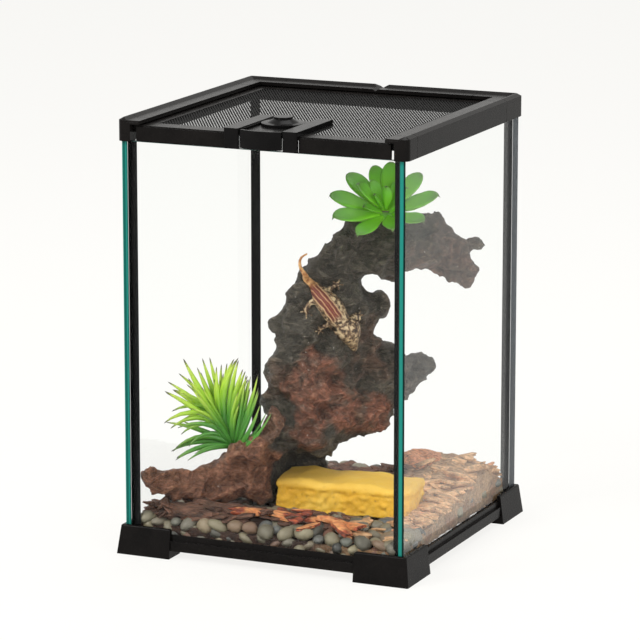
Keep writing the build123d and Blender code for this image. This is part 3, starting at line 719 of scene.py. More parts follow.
wood_tone = blend_colors(bark_wood, patches(RED_PLACES), dark_wood, red_wood)
blotch = remap(bark_wood, noise_of(bark_wood, 75, 3.0, 0.6, None, 1.2), 0.36, 0.56, 0.25)
orange_and_lit_mask = times(bark_wood, patches(ORANGE_AND_LIT_PLACES), blotch)
wood_tone = blend_colors(bark_wood, orange_and_lit_mask, wood_tone, orange_and_lit_wood)
# painted shade darkens the hollows, and painted light brightens the ridges and the raised lines
pointy = add_node(bark_wood, "NewGeometry").outputs["Pointiness"]
painted_hollow_shade_ridge_light = remap(bark_wood, pointy, 0.43, 0.53, 0.45, 1.15)
lines = math_of(bark_wood, "ADD", times(bark_wood, ropes, 0.3), times(bark_wood, threads, 0.22))
shade = times(bark_wood, painted_hollow_shade_ridge_light, math_of(bark_wood, "ADD", lines, 0.88))
shade_color = add_node(bark_wood, "CombineXYZ", {0: shade, 1: shade, 2: shade}).outputs["Vector"]
wood_tone = blend_colors(bark_wood, 1.0, wood_tone, shade_color, "MULTIPLY")
# small white specks are painted glints, the wood's tiny highlights
painted_glints = noise_of(bark_wood, 460, 3.0, 0.7)
painted_glints = remap(bark_wood, painted_glints, 0.69, 0.73, 0.0, 0.85)
wood_tone = blend_colors(bark_wood, painted_glints, wood_tone, (232, 224, 210))
color_with(bark_wood, wood_shader, wood_tone)
wood_height = math_of(bark_wood, "ADD", grain, times(bark_wood, lines, 0.8))
bump(bark_wood, wood_shader, wood_height, 2.6 * MM, 1.0)
settle(wood, bark_wood, "tank", "driftwood", "driftwood")

# %% [markdown]
# ## Rosette succulent
# A soft plastic rosette with thick, blunt leaves. One leaf is modelled from a sphere: squeezed flat,
# narrowed at its base and cupped. A table places the copies by turn, tilt and length, the low ones almost
# level and the inner ones nearly upright, and all of them lean their faces a little to the front.

# %% A spindle, for leaves and blades
def spindle(name, segments, rings, profile):
    """A sphere with its poles at 0 and 1 on X, each ring given its (half width, half thickness, lift)."""
    piece = new_shape("uv_sphere", name, segments=segments, ring_count=rings,
                      radius=0.5, location=(0.5, 0, 0), rotation=(0, math.pi / 2, 0))
    for ring in range(1, rings):
        share = 0.5 - 0.5 * math.cos(math.pi * ring / rings)
        radius = 0.5 * math.sin(math.pi * ring / rings)
        half_width, half_thick, lift = profile(share)
        pick(piece, lambda co, share=share: abs(co.x - share) < 1e-3)
        bpy.ops.transform.resize(value=(1, half_width / radius, half_thick / radius),
                                 center_override=(share, 0, 0))
        bpy.ops.transform.translate(value=(0, 0, lift))
        leave_edit()
    return piece


def leaf_profile(share):
    wide = 0.205 * (math.sin(math.pi * share**1.35) ** 0.6) * (0.45 + 0.7 * share)
    return wide, 0.06 * math.sin(math.pi * share**0.8) ** 0.6, 0.10 * share**2 - 0.02


leaf = spindle("leaf", 16, 14, leaf_profile)
for reach in (0.06, 0.11, 0.15):
    move_part(leaf, lambda co, reach=reach: abs(co.y) > reach, (0, 0, 0.014))
tip_lift = max(vertex.co.z for vertex in leaf.data.vertices)
print("leaf:", len(leaf.data.polygons), "faces, tip lift", round(tip_lift, 3))

# %% The rosette
RNG = random.Random(11)
draw = RNG.uniform
crown = Vector((40.2, 14.4, 224.8)) * MM
forward = Vector((towards_camera.x, towards_camera.y, 0)).normalized()
# each leaf's turn and tilt in degrees, and its length in mm
LEAVES = (
    (-132, -3, 40), (-107, -22, 33), (-62, -14, 32), (-24, -5, 36), (8, 18, 38), (-158, 14, 40),
    (48, 12, 33),
    (164, 31, 40), (139, 54, 34), (102, 60, 35), (60, 38, 36), (110, 18, 32), (150, 8, 30), (80, 4, 30),
    (-135, 42, 30), (-70, 52, 24), (-20, 44, 26), (-108, 42, 20), (-116, 14, 22), (-160, 62, 24),
    (40, 68, 22), (-40, 20, 24),
)
LEAN_AXIS = (Vector((0, 0, 1)) + 0.65 * forward).normalized()
leaf_places = []
for turn, tilt, length in LEAVES:
    turn, tilt = math.radians(turn + draw(-2, 2)), math.radians(tilt)
    along = Vector((math.cos(turn) * math.cos(tilt), math.sin(turn) * math.cos(tilt), math.sin(tilt)))
    side = LEAN_AXIS.cross(along).normalized()
    lay = frame_of(along, side, along.cross(side))
    leaf_places.append((0, Matrix.Translation(crown + along * MM) @ lay @ Matrix.Scale(length * MM, 4)))
rosette = scatter([leaf], leaf_places, "rosette_leaves")
drop([leaf])
smooth(rosette)
stem = new_shape("cone", "rosette_stem", vertices=20, radius1=5 * MM,
                 radius2=6.5 * MM, depth=8 * MM, location=crown - Vector((0, 0, 1.5 * MM)))
press(stem, "BEVEL", width=1 * MM, segments=2)

# %% Leaf finish
leaf_green, leaf_shader = new_material("leaf_green", (96, 168, 60), 0.34)
leaf_uv = uv_of(leaf_green)
leaf_cloud = noise_of(leaf_green, 150, 3.0)
leaf_share = stirred(leaf_green, leaf_uv[1], leaf_cloud, 0.2)
leaf_tone = ramp(leaf_green, leaf_share, (0.0, (186, 240, 52)), (0.3, (140, 216, 44)),
                 (0.7, (112, 194, 50)), (0.9, (104, 158, 60)), (0.98, (84, 76, 60)))
edge_wave = math_of(leaf_green, "ABSOLUTE",
                    math_of(leaf_green, "COSINE", times(leaf_green, leaf_uv[0], 2 * math.pi)))
edge_near = remap(leaf_green, edge_wave, 0.18, 0.02)
edge_near = times(leaf_green, edge_near, math_of(leaf_green, "GREATER_THAN", leaf_uv[1], 0.35))
leaf_tone = blend_colors(leaf_green, times(leaf_green, edge_near, 0.75), leaf_tone, (112, 84, 70))
color_with(leaf_green, leaf_shader, leaf_tone)
bump(leaf_green, leaf_shader, noise_of(leaf_green, 700, 3.0), 0.2 * MM, 0.4)
settle(rosette, leaf_green, "tank", "leaf_green", "rosette_succulent")
settle(stem, leaf_green, "tank", "leaf_green")

# %% [markdown]
# ## Grass plant
# A tuft of soft plastic blades: pointed, folded a little along the middle, arching outwards. One straight
# blade is shaped from a sphere, and Simple Deform bends five versions of it, from almost straight to
# hooked. The tuft fans up and to the left, because the wood stands on its right.

# %% Straight and bent blades
def blade_profile(share):
    wide = 0.044 * min(1.0, 0.6 + 1.6 * share) * (1 - share**2.4) + 0.004
    return wide * 0.62, wide, 0.0


BENDS = (6, 30, 58, 90, 125)
straight = spindle("blade", 6, 10, blade_profile)
blades, level_out = [], []
for bend in BENDS:
    bent = linked("blade_bent", straight.data.copy())
    edit_all(bent)
    bpy.ops.transform.rotate(value=math.pi / 2, orient_axis="X", center_override=(0, 0, 0))
    leave_edit()
    press(bent, "SIMPLE_DEFORM", deform_method="BEND", angle=math.radians(bend), deform_axis="Z")
    tip = max(bent.data.vertices, key=lambda vertex: vertex.co.length).co
    chord = math.atan2(tip.y, tip.x)
    level_out.append(Matrix.Rotation(-chord, 4, "Z") @ Matrix.Scale(1 / tip.length, 4))
    blades.append(bent)
    print("bend", bend, "tip", [round(v, 3) for v in tip])

# %% The tuft
# Each line of the table is a tip and the point that draws the blade's arch: right, up and forward in mm.
BLADE_LINES = (
    ((-34, 62, 4), (-16, 28, 2)), ((-22, 60, -8), (-12, 30, -4)), ((-12, 58, 8), (-13, 30, 4)),
    ((-9, 57, -4), (-9, 26, -2)), ((0, 64, 12), (-11, 32, 4)), ((3, 64, 16), (-3, 32, 8)),
    ((6, 59, 20), (-1, 28, 9)), ((8, 54, 14), (3, 26, 8)), ((11, 54, 18), (5, 24, 12)),
    ((16, 56, 22), (8, 20, 16)), ((3, 44, 20), (-3, 28, 13)), ((-31, 51, 12), (-14, 28, 8)),
    ((-38, 50, -6), (-17, 28, -4)), ((-45, 46, 2), (-20, 32, 0)), ((-47, 41, 8), (-22, 28, 6)),
    ((-42, 38, -8), (-20, 24, -6)), ((-30, 31, 14), (-15, 25, 9)), ((-43, 26, 3), (-24, 38, 2)),
    ((-48, 19, 9), (-28, 34, 6)), ((-47, 17, -3), (-28, 13, -2)), ((-39, 17, 13), (-24, 26, 8)),
    ((-41, 1, 6), (-27, 14, 4)), ((-43, -3, 0), (-27, 8, -1)), ((-41, -7, 8), (-27, 3, 6)),
    ((-33, -6, 14), (-20, 2, 10)), ((-25, 42, 18), (-12, 22, 10)), ((18, 38, 28), (9, 12, 22)),
    ((26, 32, 26), (13, 11, 24)), ((17, 46, 26), (8, 18, 18)), ((-6, 48, -10), (-7, 24, -6)),
)
tuft = Vector((-45.5, -47, 66)) * MM
tuft_right = Vector((math.cos(AZIMUTH), math.sin(AZIMUTH), 0))


def from_tuft(offset):
    return (tuft_right * offset[0] + Vector((0, 0, offset[1])) + forward * offset[2]) * MM


def blade_place(tip, arch):
    """The master that bends most like the arch, and the matrix that lays it from the hub to the tip."""
    chord = tip - tip.normalized() * 3 * MM
    sag = arch - chord / 2
    sag = sag - chord.normalized() * sag.dot(chord.normalized())
    bend = math.degrees(4 * math.atan(1.5 * sag.length / chord.length))
    number = min(range(len(BENDS)), key=lambda k: abs(BENDS[k] - bend))
    along, bulge = chord.normalized(), sag.normalized()
    turn = frame_of(along, -bulge, along.cross(-bulge))
    return number, Matrix.Translation(tuft) @ turn @ Matrix.Scale(chord.length, 4) @ level_out[number]


blade_places = []
for k in range(2 * len(BLADE_LINES) + 10):
    tip, arch = BLADE_LINES[k % len(BLADE_LINES)]
    stray = 0.0 if k < len(BLADE_LINES) else 1.0
    shrink = 1.0 - 0.16 * stray * RNG.random()
    wander = Vector([draw(-5, 5) * stray for _ in range(3)])
    tip = Vector(tip) * shrink * 1.06 + wander
    tip.y = max(tip.y, -9)
    arch = Vector(arch) * shrink + wander * 0.4
    blade_places.append(blade_place(from_tuft(tip), from_tuft(arch)))
grass = scatter(blades, blade_places, "grass_blades")
drop([straight, *blades])
smooth(grass)
hub = new_shape("uv_sphere", "grass_hub", segments=16, ring_count=10,
                radius=4 * MM, location=tuft - Vector((0, 0, 1 * MM)))
press(hub, "DISPLACE", texture=bpy.data.textures.new("hub_lumps", "CLOUDS"), strength=1.5 * MM,
      mid_level=0.5)

# %% Blade finish
blade_green, blade_shader = new_material("blade_green", (150, 190, 50), 0.38)
blade_spot = place(blade_green)
blade_uv = uv_of(blade_green)
blade_parts = parts_of(blade_green, blade_spot)
slant = math_of(blade_green, "SUBTRACT", blade_parts[2], times(blade_green, blade_parts[0], 0.35))
up_share = remap(blade_green, slant, 92 * MM, 136 * MM)
each_blade = each_island(blade_green)
up_share = stirred(blade_green, up_share, each_blade, 0.35)
low_green = ramp(blade_green, blade_uv[1], (0.0, (96, 150, 60)), (0.15, (60, 128, 40)),
                 (0.6, (76, 142, 46)), (0.82, (110, 150, 70)), (0.9, (64, 56, 50)))
high_green = ramp(blade_green, blade_uv[1], (0.0, (84, 150, 44)), (0.2, (120, 186, 40)),
                  (0.6, (172, 214, 50)), (0.8, (190, 214, 84)), (0.9, (86, 80, 66)))
blade_tone = blend_colors(blade_green, ramp(blade_green, up_share, (0.2, (0, 0, 0)),
                                            (0.8, (255, 255, 255))), low_green, high_green)
color_with(blade_green, blade_shader, blade_tone)
bump(blade_green, blade_shader, noise_of(blade_green, 900, 2.0), 0.15 * MM, 0.3)
settle(grass, blade_green, "tank", "grass_green", "grass_plant")
settle(hub, blade_green, "tank", "grass_green")

# %% [markdown]
# ## Cast ledge
# A shelf cast in yellow resin to look like sandstone: a smooth light band round its top, and a broken face
# below. The remeshed solid is roughened by two clouds.

# %% Cast ledge
ledge = copy_of_node("rock_ledge", "cast_ledge")
reskin(ledge, 1.3 * MM, 0.6, 3)
roughen(ledge, "ledge_lumps", "CLOUDS", 18 * MM, 3.0 * MM, 0.5)
broken = ledge.vertex_groups.new(name="broken")
for vertex in ledge.data.vertices:
    below = 1.0 if vertex.co.z < 40 * MM else 0.0
    broken.add([vertex.index], below * held(1.2 - 1.4 * abs(vertex.normal.z), 0.0, 1.0), "REPLACE")
crumble = cloud_texture("ledge_crumbs", "CLOUDS", 5 * MM, noise_type="HARD_NOISE", noise_depth=3)
press(ledge, "DISPLACE", texture=crumble, strength=3.4 * MM, mid_level=0.6, texture_coords="LOCAL",
      vertex_group="broken")
smooth(ledge)
sandstone, sand_shader = new_material("sandstone", (224, 184, 72), 0.72)
sand_spot = place(sandstone)
sand_height = parts_of(sandstone, sand_spot)[2]
sand_cloud = noise_of(sandstone, 60, 5.0)
sand_tone = ramp(sandstone, sand_cloud, (0.25, (224, 166, 36)), (0.5, (242, 188, 54)),
                 (0.75, (250, 208, 90)))
band = remap(sandstone, sand_height, 41 * MM, 44 * MM)
sand_tone = blend_colors(sandstone, times(sandstone, band, 0.5), sand_tone, (236, 196, 92))
sand_pits = noise_of(sandstone, 260, 6.0, 0.7)
pit_mask = ramp(sandstone, sand_pits, (0.3, (255, 255, 255)), (0.44, (0, 0, 0)))
pit_mask = times(sandstone, pit_mask, math_of(sandstone, "SUBTRACT", 1.0, band))
sand_tone = blend_colors(sandstone, pit_mask, sand_tone, (176, 122, 34))
color_with(sandstone, sand_shader, sand_tone)
bump(sandstone, sand_shader, sand_pits, 1.0 * MM, 0.7)
settle(ledge, sandstone, "tank", "resin_yellow", "rock_ledge")

# %% [markdown]
# ## Pebbles and the bed
# River pebbles lie along the panes and over the floor. Five pebbles are made from small spheres, each
# dented by its own cloud, and copied some hundreds of times with seeded sizes and turns. Under them a slab
# stands for the rest of the bed, so no light comes from below.

# %% The bed under the pebbles
bed_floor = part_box("gravel_bed")[0][2]
BED_TOP = 20 * MM
BED_HALF = WALL - 8 * MM
bed = new_shape("cube", "bed_fill", size=1,
                scale=(2 * BED_HALF, 2 * BED_HALF, BED_TOP - bed_floor),
                location=(0, 0, (BED_TOP + bed_floor) / 2))
press(bed, "BEVEL", width=3 * MM, segments=2)
grit, grit_shader = new_material("grit", (60, 46, 38), 0.85)
grit_tone = ramp(grit, noise_of(grit, 330, 5.0, 0.7), (0.3, (26, 20, 17)), (0.5, (58, 42, 34)),
                 (0.7, (96, 74, 60)))
color_with(grit, grit_shader, grit_tone)
bump(grit, grit_shader, noise_of(grit, 500, 4.0), 2 * MM, 0.9)
settle(bed, grit, "tank", "pebble", "gravel_bed")

# %% Pebbles
pebble_shapes = []
for k in range(5):
    stone = new_shape("ico_sphere", "stone", subdivisions=2, radius=1)
    dent(stone, cloud_texture(f"dent_{k}", "CLOUDS", 1.1 + 0.2 * k), 0.7, 3.0 * k)
    pebble_shapes.append(stone)


def pebble_at(x, y, z, size, flat=None):
    """One pebble of a size in mm, kept between the panes."""
    proportions = (size * draw(0.9, 1.3), size * draw(0.75, 1.0),
                   size * (flat or draw(0.5, 0.8)))
    keep = WALL - 0.95 * size * MM
    spot = Vector((held(x * MM, -keep, keep), held(y * MM, -keep, keep), z * MM))
    turn = turned(x=draw(-30, 30), y=draw(-30, 30), z=draw(0, 360))
    shape = Matrix.Diagonal((*[p * MM for p in proportions], 1.0))
    return RNG.randrange(5), Matrix.Translation(spot) @ turn @ shape


pebble_places = []
for wall in range(4):
    for level in (12, 17.5, 23):
        for k in range(17):
            along = -93 + 11.6 * k + (5.8 if level == 17.5 else 0) + draw(-2.5, 2.5)
            size = draw(4.2, 7.2)
            x, y = ((along, -92), (along, 92), (-92, along), (92, along))[wall]
            if wall != 3 or along < -48:
                pebble_places.append(pebble_at(x, y, level + draw(-1.5, 1.5), size))
for row in range(16):
    for column in range(16):
        x = -86 + 11.5 * column + draw(-3.5, 3.5) + (5 if row % 2 else 0)
        y = -84 + 11.2 * row + draw(-3.5, 3.5)
        size = RNG.choice((3.6, 4.4, 5.4, 6.2, 7.4))
        pebble_places.append(pebble_at(x, y, 22.5 + draw(-1.0, 1.8), size, 0.62))
pebbles = scatter(pebble_shapes, pebble_places, "river_pebbles")
drop(pebble_shapes)
smooth(pebbles)
river_stone, stone_shader = new_material("river_stone", (120, 122, 104), 0.5)
each_stone = each_island(river_stone)
stone_tone = ramp(
    river_stone, each_stone, (0.0, (62, 62, 58)), (0.12, (112, 106, 88)), (0.27, (138, 128, 102)),
    (0.4, (88, 92, 94)), (0.52, (122, 114, 94)), (0.64, (112, 78, 62)), (0.74, (150, 140, 112)),
    (0.86, (98, 100, 92)),
    (1.0, (128, 118, 100)),
)
stone_speckle = noise_of(river_stone, 420, 5.0, 0.7)
stone_tone = blend_colors(river_stone, ramp(river_stone, stone_speckle, (0.35, (90, 90, 90)),
                                            (0.6, (0, 0, 0))), stone_tone, (52, 50, 44))
color_with(river_stone, stone_shader, stone_tone)
bump(river_stone, stone_shader, stone_speckle, 0.3 * MM, 0.4)
settle(pebbles, river_stone, "tank", "pebble")

# %% [markdown]
# ## Broken bark
# Torn bark lies in front of the wood, and in a mound at the back right. Each piece is a flat shard with a
# broken outline. Four shards are made from cubes, subdivided and roughened, and copied over a height map of
# the heaps, each with its own tilt.

# %% Shards of bark
shards = []
for k in range(4):
    shard = new_shape("cube", "shard", size=1)
    edit_all(shard)
    bpy.ops.mesh.subdivide(number_cuts=2)
    leave_edit()
    resize_part(shard, lambda co: co.x > 0.4, (1, 0.45 + 0.12 * k, 0.6), (0.5, 0.1 * k, 0))
    resize_part(shard, lambda co: co.x < -0.4, (1, 0.7, 0.5), (-0.5, -0.1, 0))
    resize_part(shard, lambda co: abs(co.y) > 0.4, (1, 1, 0.45), (0, 0, 0))
    dent(shard, cloud_texture(f"tear_{k}", "CLOUDS", 0.35 + 0.08 * k), 0.45, 2.0 * k)
    shards.append(shard)


def mound_height(x, y):
    """How high the bark lies over a point, in mm."""
    back = 24 * math.exp(-(((x - 66) / 36) ** 2 + ((y - 62) / 32) ** 2))
    side = 8 * math.exp(-(((x - 96) / 22) ** 2 + ((y - 10) / 60) ** 2))
    front = 6 * math.exp(-(((x - 4) / 60) ** 2 + ((y + 68) / 13) ** 2))
    left = 8 * math.exp(-(((x + 56) / 34) ** 2 + ((y + 76) / 13) ** 2))
    middle = 10 * math.exp(-(((x + 10) / 60) ** 2 + ((y - 20) / 40) ** 2))
    return back + side + front + left + middle


def shard_at(x, y, z, long, turn, tilt=22):
    wide, thick = long * draw(0.34, 0.6), long * draw(0.16, 0.26)
    keep = WALL / MM - 0.55 * long
    spot = Vector((held(x, -keep, keep), held(y, -keep, keep), z)) * MM
    shape = Matrix.Diagonal((long * MM, wide * MM, thick * MM, 1.0))
    lay = turned(x=draw(-tilt, tilt), y=draw(-tilt, tilt), z=turn)
    return RNG.randrange(4), Matrix.Translation(spot) @ lay @ shape


shard_places = []
for k in range(760):
    x, y = draw(-94, 96), draw(-84, 95)
    heap = mound_height(x, y)
    if heap < 3 and RNG.random() < 0.8:
        continue
    level = 23.5 + heap * draw(0.72, 1.0)
    shard_places.append(shard_at(x, y, level, draw(9, 22), draw(-50, 60), 20))
for k in range(60):
    y = draw(-46, 92)
    shard_places.append(shard_at(95, y, draw(13, 26), draw(10, 18), draw(60, 120),
                                 40))
for k in range(16):
    shard_places.append(shard_at(draw(-92, -74), draw(-91, -80), draw(27, 34),
                                 draw(9, 15), draw(0, 180), 40))
for k in range(46):
    x = draw(-74, -34)
    shard_places.append(shard_at(x, draw(-93, -80), draw(26, 31) - 0.08 * (x + 74),
                                 draw(12, 24), draw(-35, 15), 14))
bark = scatter(shards, shard_places, "bark_shards")
smooth(bark, 40)

# %% The heap that the shards lie on
heap = new_shape("grid", "bark_heap", x_subdivisions=90, y_subdivisions=90,
                 size=2 * (WALL - 1.5 * MM))
edit_all(heap)
bpy.ops.mesh.extrude_region_move(TRANSFORM_OT_translate={"value": (0, 0, -1 * MM)})
leave_edit()
HEAP_FOOT = 13 * MM
for vertex in heap.data.vertices:
    top = (19.5 + 1.12 * mound_height(vertex.co.x / MM, vertex.co.y / MM)) * MM
    vertex.co.z = HEAP_FOOT if vertex.co.z < -0.5 * MM else top
tidy_mesh(heap)
roughen(heap, "heap_crumbs", "CLOUDS", 6 * MM, 3.4 * MM, 0.6)
keep_inside(heap, HEAP_FOOT - 1 * MM)
fibre_ball = new_shape("ico_sphere", "fibre_ball", subdivisions=5, radius=1,
                       scale=(18 * MM, 11 * MM, 8 * MM), location=(51 * MM, 58 * MM, 41 * MM))
roughen(fibre_ball, "ball_lumps", "CLOUDS", 11 * MM, 7 * MM, 0.5)
roughen(fibre_ball, "ball_crumbs", "CLOUDS", 3.5 * MM, 1.6 * MM, 0.5)

# %% Rust-coloured chips in front of the wood
rust_places = []
for x, y, z, long, turn in (
    (-22, -74, 30, 26, 35), (-14, -70, 30, 14, 80), (6, -72, 29.5, 20, 10), (14, -74, 30, 16, 70),
    (22, -72, 29, 18, -20), (0, -68, 31, 15, 120), (42, -76, 29, 17, -50), (48, -79, 28, 19, -60),
    (12, -66, 33, 12, 30),
    (2, -74, 31, 11, 150), (18, -68, 32, 13, 95), (8, -77, 28.5, 12, 20), (30, -70, 29, 15, 60),
    (27, -87, 28.5, 17, 60), (49, -83, 28.5, 24, -45), (54, -76, 29, 20, -35), (38, -72, 30, 20, 10),
):
    rust_places.append(shard_at(x, y, z, long, turn, 14))
rust_chips = scatter(shards, rust_places, "rust_chips")
drop(shards)
smooth(rust_chips, 40)


# %% Bark finishes
def bark_finish(name, dark_stops, tan_stops, grain=300):
    """Dark bark, and the tan kind towards the right-hand pane."""
    made, shader = new_material(name, (140, 90, 70), 0.82)
    each = each_island(made)
    cloud = remap(made, noise_of(made, 90, 3.0), 0.35, 0.65)
    each = times(made, math_of(made, "ADD", each, cloud), 0.5)
    bark_x = parts_of(made, place(made))[0]
    side = remap(made, stirred(made, bark_x, noise_of(made, 40), 0.04), 36 * MM, 56 * MM)
    tone = blend_colors(made, side, ramp(made, each, *dark_stops), ramp(made, each, *tan_stops))
    fibre = noise_of(made, grain, 6.0, 0.7, stretched(made, (0.4, 1.6, 1), (0, 0, 0.5)), 0.6)
    dark = ramp(made, fibre, (0.3, (90, 90, 90)), (0.6, (255, 255, 255)))
    tone = blend_colors(made, 1.0, tone, dark, "MULTIPLY")
    color_with(made, shader, tone)
    bump(made, shader, fibre, 0.9 * MM, 0.9)
    return made


DARK_BARK = ((0.1, (74, 50, 40)), (0.35, (104, 74, 58)), (0.55, (132, 92, 72)), (0.75, (92, 64, 52)),
             (0.95, (150, 104, 82)))
TAN_BARK = ((0.1, (184, 138, 98)), (0.35, (232, 180, 130)), (0.55, (248, 200, 152)),
            (0.75, (204, 156, 112)), (0.95, (240, 172, 130)))
RUST_BARK = ((0.1, (232, 140, 84)), (0.4, (246, 172, 112)), (0.55, (196, 96, 60)), (0.7, (140, 74, 60)),
             (0.95, (118, 60, 52)))
BALL_BARK = ((0.1, (226, 148, 104)), (0.5, (246, 174, 128)), (0.9, (232, 150, 112)))
torn_bark = bark_finish("torn_bark", DARK_BARK, TAN_BARK)
# the heap under the shards takes a darker copy of the bark colours: painted shade for the gaps between the
# shards
shaded_crumbs = bark_finish("shaded_crumbs", [(p, scaled(tone, 0.62)) for p, tone in DARK_BARK],
                     [(p, scaled(tone, 0.8)) for p, tone in TAN_BARK], 500)
rust_bark = bark_finish("rust_bark", RUST_BARK, RUST_BARK)
ball_bark = bark_finish("ball_bark", BALL_BARK, BALL_BARK, 600)
settle(bark, torn_bark, "tank", "bark", "bark_chips")
settle(rust_chips, rust_bark, "tank", "bark")
settle(heap, shaded_crumbs, "tank", "bark")
settle(fibre_ball, ball_bark, "tank", "bark")

# %% [markdown]
# ## Gecko figure
# A small rubber gecko climbs head down on the trunk. Its limbs are curves of changing thickness laid on the
# wood's real skin, found by casting rays at it. The curves are turned to meshes and welded by a voxel
# remesh, as if the figure had been cast in one.

# %% Where the gecko touches the wood
WOOD_SLOPE, WOOD_SHIFT = 0.867, -6.3
wood_across = Vector((-WOOD_SLOPE, 1, 0)).normalized()


def on_wood(x, z, lift):
    """The point on the front of the wood at x and z, in mm, lifted off it."""
    start = (Vector((x, WOOD_SLOPE * x + WOOD_SHIFT, z)) - wood_across * 60) * MM
    hit = wood_skin.ray_cast(start, wood_across)[0]
    base = hit if hit is not None else start + wood_across * 43 * MM
    return base - wood_across * lift * MM


def limb_curve(name, points, resolution):
    """A curve through (x, z, radius) points on the wood, turned into a mesh."""
    data = bpy.data.curves.new(name, "CURVE")
    data.dimensions = "3D"
    data.bevel_depth = 1.0 * MM
    data.bevel_resolution = resolution
    data.resolution_u = 6
    data.use_fill_caps = True
    spline = data.splines.new("NURBS")
    spline.points.add(len(points) - 1)
    spline.order_u = 3
    spline.use_endpoint_u = True
    for point, (x, z, radius) in zip(spline.points, points):
        point.co = (*on_wood(x, z, min(0.75 * radius, 1.6)), 1)
        point.radius = radius
    activate(linked(name, data))
    bpy.ops.object.convert(target="MESH")
    return bpy.context.object


# curve steps, then x, z and radius in mm, of the tail, the body, the head and the four legs
GECKO_LIMBS = (
    (3, ((-11, 201, 0.6), (-13.7, 200, 0.8), (-15.5, 196, 1.0), (-14.4, 190, 1.4), (-11.6, 185.4, 1.8),
         (-8.6, 181.4, 2.2), (-4.9, 175.5, 3.2))),
    (5, ((-5.2, 177, 3.0), (-3, 171.5, 6.2), (0, 166, 8.2), (3, 160, 8.4), (5.4, 155, 6.8),
         (7, 151.5, 5.0))),
    (5, ((6.2, 154, 4.5), (8, 151, 8.0), (10, 147.5, 8.4), (12, 142, 6.2), (14, 136.5, 4.0),
         (15.7, 131.5, 1.8))),
    (3, ((-2, 170, 2.4), (2.8, 174.5, 1.8), (6.3, 177.4, 1.2))),
    (3, ((-4, 168, 2.4), (-9.5, 166, 1.8), (-10.5, 160, 1.2))),
    (3, ((8, 154, 2.2), (14, 157, 1.8), (17.5, 155.5, 1.1))),
    (3, ((5, 153, 2.2), (-1, 152, 1.8), (-4, 147, 1.1))),
)
TOES = 5
gecko_parts = [limb_curve("gecko_limb", points, steps) for steps, points in GECKO_LIMBS]
for foot, (steps, points) in enumerate(GECKO_LIMBS[3:]):
    x, z, radius = points[-1]
    for toe in range(TOES):
        turn = 2 * math.pi * (toe / TOES + 0.1 * foot)
        tip = (x + 3.0 * math.cos(turn), z + 3.8 * math.sin(turn), 0.6)
        gecko_parts.append(limb_curve("gecko_toe", ((x, z, 0.8), tip), 1))
for share in range(6):
    for side in (-1, 1):
        x, z = 8.5 + side * (7.4 - 0.8 * share) + 1.0 * share, 151.5 + side * 1.8 - 2.4 * share
        gecko_parts.append(limb_curve("gecko_crest", ((x, z, 1.5), (x + side * 1.5, z + 1.6, 0.5)), 1))
gecko = join_pieces(gecko_parts, "gecko_body")
reskin(gecko, 0.55 * MM, 0.5, 2)
roughen(gecko, "gecko_folds", "CLOUDS", 2.4 * MM, 0.7 * MM, 0.5)
smooth(gecko)

# %% Gecko eyes
eyes = []
for x, z in ((7.4, 143.0), (16.6, 145.5)):
    eye_spot = on_wood(x, z, 4.4)
    eyes.append(new_shape("uv_sphere", "eye", segments=12, ring_count=8,
                          radius=1.15 * MM, location=eye_spot))
gecko_eyes = join_pieces(eyes, "gecko_eyes")
smooth(gecko_eyes)
eye_glaze, eye_shader = new_material("eye_glaze", (60, 34, 20), 0.15)
color_with(eye_glaze, eye_shader,
           ramp(eye_glaze, noise_of(eye_glaze, 800), (0.4, (24, 14, 10)), (0.6, (120, 70, 34))))

# %% Gecko skin
skin, skin_shader = new_material("gecko_skin", (170, 100, 60), 0.55)
skin_spot = place(skin)
spine_start, spine_end = on_wood(-4.9, 175, 0), on_wood(10, 146, 0)
spine_along = (spine_end - spine_start).normalized()
spine_across = spine_along.cross(wood_across).normalized()
shifted = vector_of(skin, "SUBTRACT", skin_spot, tuple(spine_start))
wobble = add_node(skin, "TexNoise", {"Vector": skin_spot, "Scale": 300.0, "Detail": 2.0}).outputs["Color"]
wobbled = vector_of(skin, "MULTIPLY", wobble, (0.0016, 0.0016, 0.0016))
shifted = vector_of(skin, "ADD", shifted, wobbled)
off_spine = vector_of(skin, "DOT_PRODUCT", shifted, tuple(spine_across), "Value")
off_spine = math_of(skin, "ABSOLUTE", off_spine)
stripes = ramp(skin, remap(skin, off_spine, 0.0, 10 * MM),
               (0.0, (116, 48, 30)), (0.1, (104, 40, 24)), (0.15, (190, 148, 104)), (0.2, (108, 42, 26)),
               (0.33, (88, 34, 22)), (0.4, (206, 170, 124)), (0.46, (86, 54, 36)))
mottled = ramp(skin, noise_of(skin, 420, 4.0), (0.42, (52, 36, 26)), (0.5, (122, 94, 66)),
               (0.6, (200, 178, 140)))
flank = remap(skin, off_spine, 4.2 * MM, 5.2 * MM)
down_spine = vector_of(skin, "DOT_PRODUCT", shifted, tuple(spine_along), "Value")
head_share = remap(skin, down_spine, 25 * MM, 29 * MM)
skin_tone = blend_colors(skin, math_of(skin, "MAXIMUM", flank, head_share), stripes, mottled)
tail_share = remap(skin, down_spine, 1 * MM, -4 * MM)
tail_tone = ramp(skin, noise_of(skin, 260, 3.0), (0.4, (150, 92, 48)), (0.6, (226, 178, 118)))
skin_tone = blend_colors(skin, tail_share, skin_tone, tail_tone)
color_with(skin, skin_shader, skin_tone)
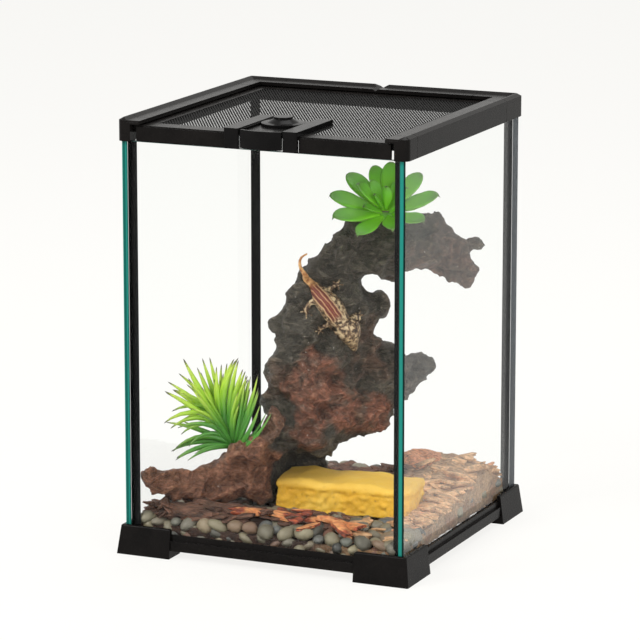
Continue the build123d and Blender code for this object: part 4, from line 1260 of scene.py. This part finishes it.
bump(skin, skin_shader, noise_of(skin, 1600, 2.0), 0.25 * MM, 0.6)
settle(gecko, skin, "tank", "gecko_skin", "gecko_figure")
settle(gecko_eyes, eye_glaze, "tank", "gecko_skin")

# %% [markdown]
# ## Floor and light
# A white sweep, lit by three big soft lamps and an even world. The floor shows a camera its own white, with
# the shadow kept in part. Mirrors and glass see the same white.

# %% Floor
floor = new_shape("plane", "studio_floor", size=8, location=(0, 0, -0.0002))
paper, paper_shader = new_material("studio_paper", (250, 249, 245), 0.9)


def seen_directly(made):
    """1 for what the camera sees, also in a mirror or through glass."""
    rays = add_node(made, "LightPath").outputs
    seen = math_of(made, "MAXIMUM", rays["Is Camera Ray"], rays["Is Glossy Ray"])
    return math_of(made, "MAXIMUM", seen, rays["Is Transmission Ray"])


PAPER_WHITE = (*paint(254, 253, 250), 1)
glow = add_node(paper, "Emission", {"Color": PAPER_WHITE, "Strength": 1.0})
mix_to_surface(paper, "Material Output", times(paper, seen_directly(paper), 0.86), paper_shader, glow)
floor.data.materials.append(paper)

# %% World
world = bpy.data.worlds.new("studio")
bpy.context.scene.world = world
world.use_nodes = True
backdrop = world.node_tree.nodes["Background"]
backdrop.inputs["Color"].default_value = (0.96, 0.98, 1.0, 1)
backdrop.inputs["Strength"].default_value = 0.55
plain = add_node(world, "Background", {"Color": PAPER_WHITE, "Strength": 1.0})
mix_to_surface(world, "World Output", seen_directly(world), backdrop, plain)
print("lit by an even world of strength", backdrop.inputs["Strength"].default_value)


# %% Lamps
def soft_lamp(name, spot, size, power):
    data = bpy.data.lights.new(name, "AREA")
    data.shape = "DISK"
    data.size = size
    data.energy = power
    lamp = linked(name, data)
    lamp.location = spot
    lamp.rotation_euler = (TARGET - Vector(spot)).to_track_quat("-Z", "Y").to_euler()


soft_lamp("key", (-0.9, -1.3, 1.5), 0.9, 26)
soft_lamp("fill", (1.5, -1.2, 0.9), 1.2, 14)
soft_lamp("top", (0.1, 0.5, 1.9), 1.2, 16)
print("lamps:", [light.name for light in bpy.data.lights])
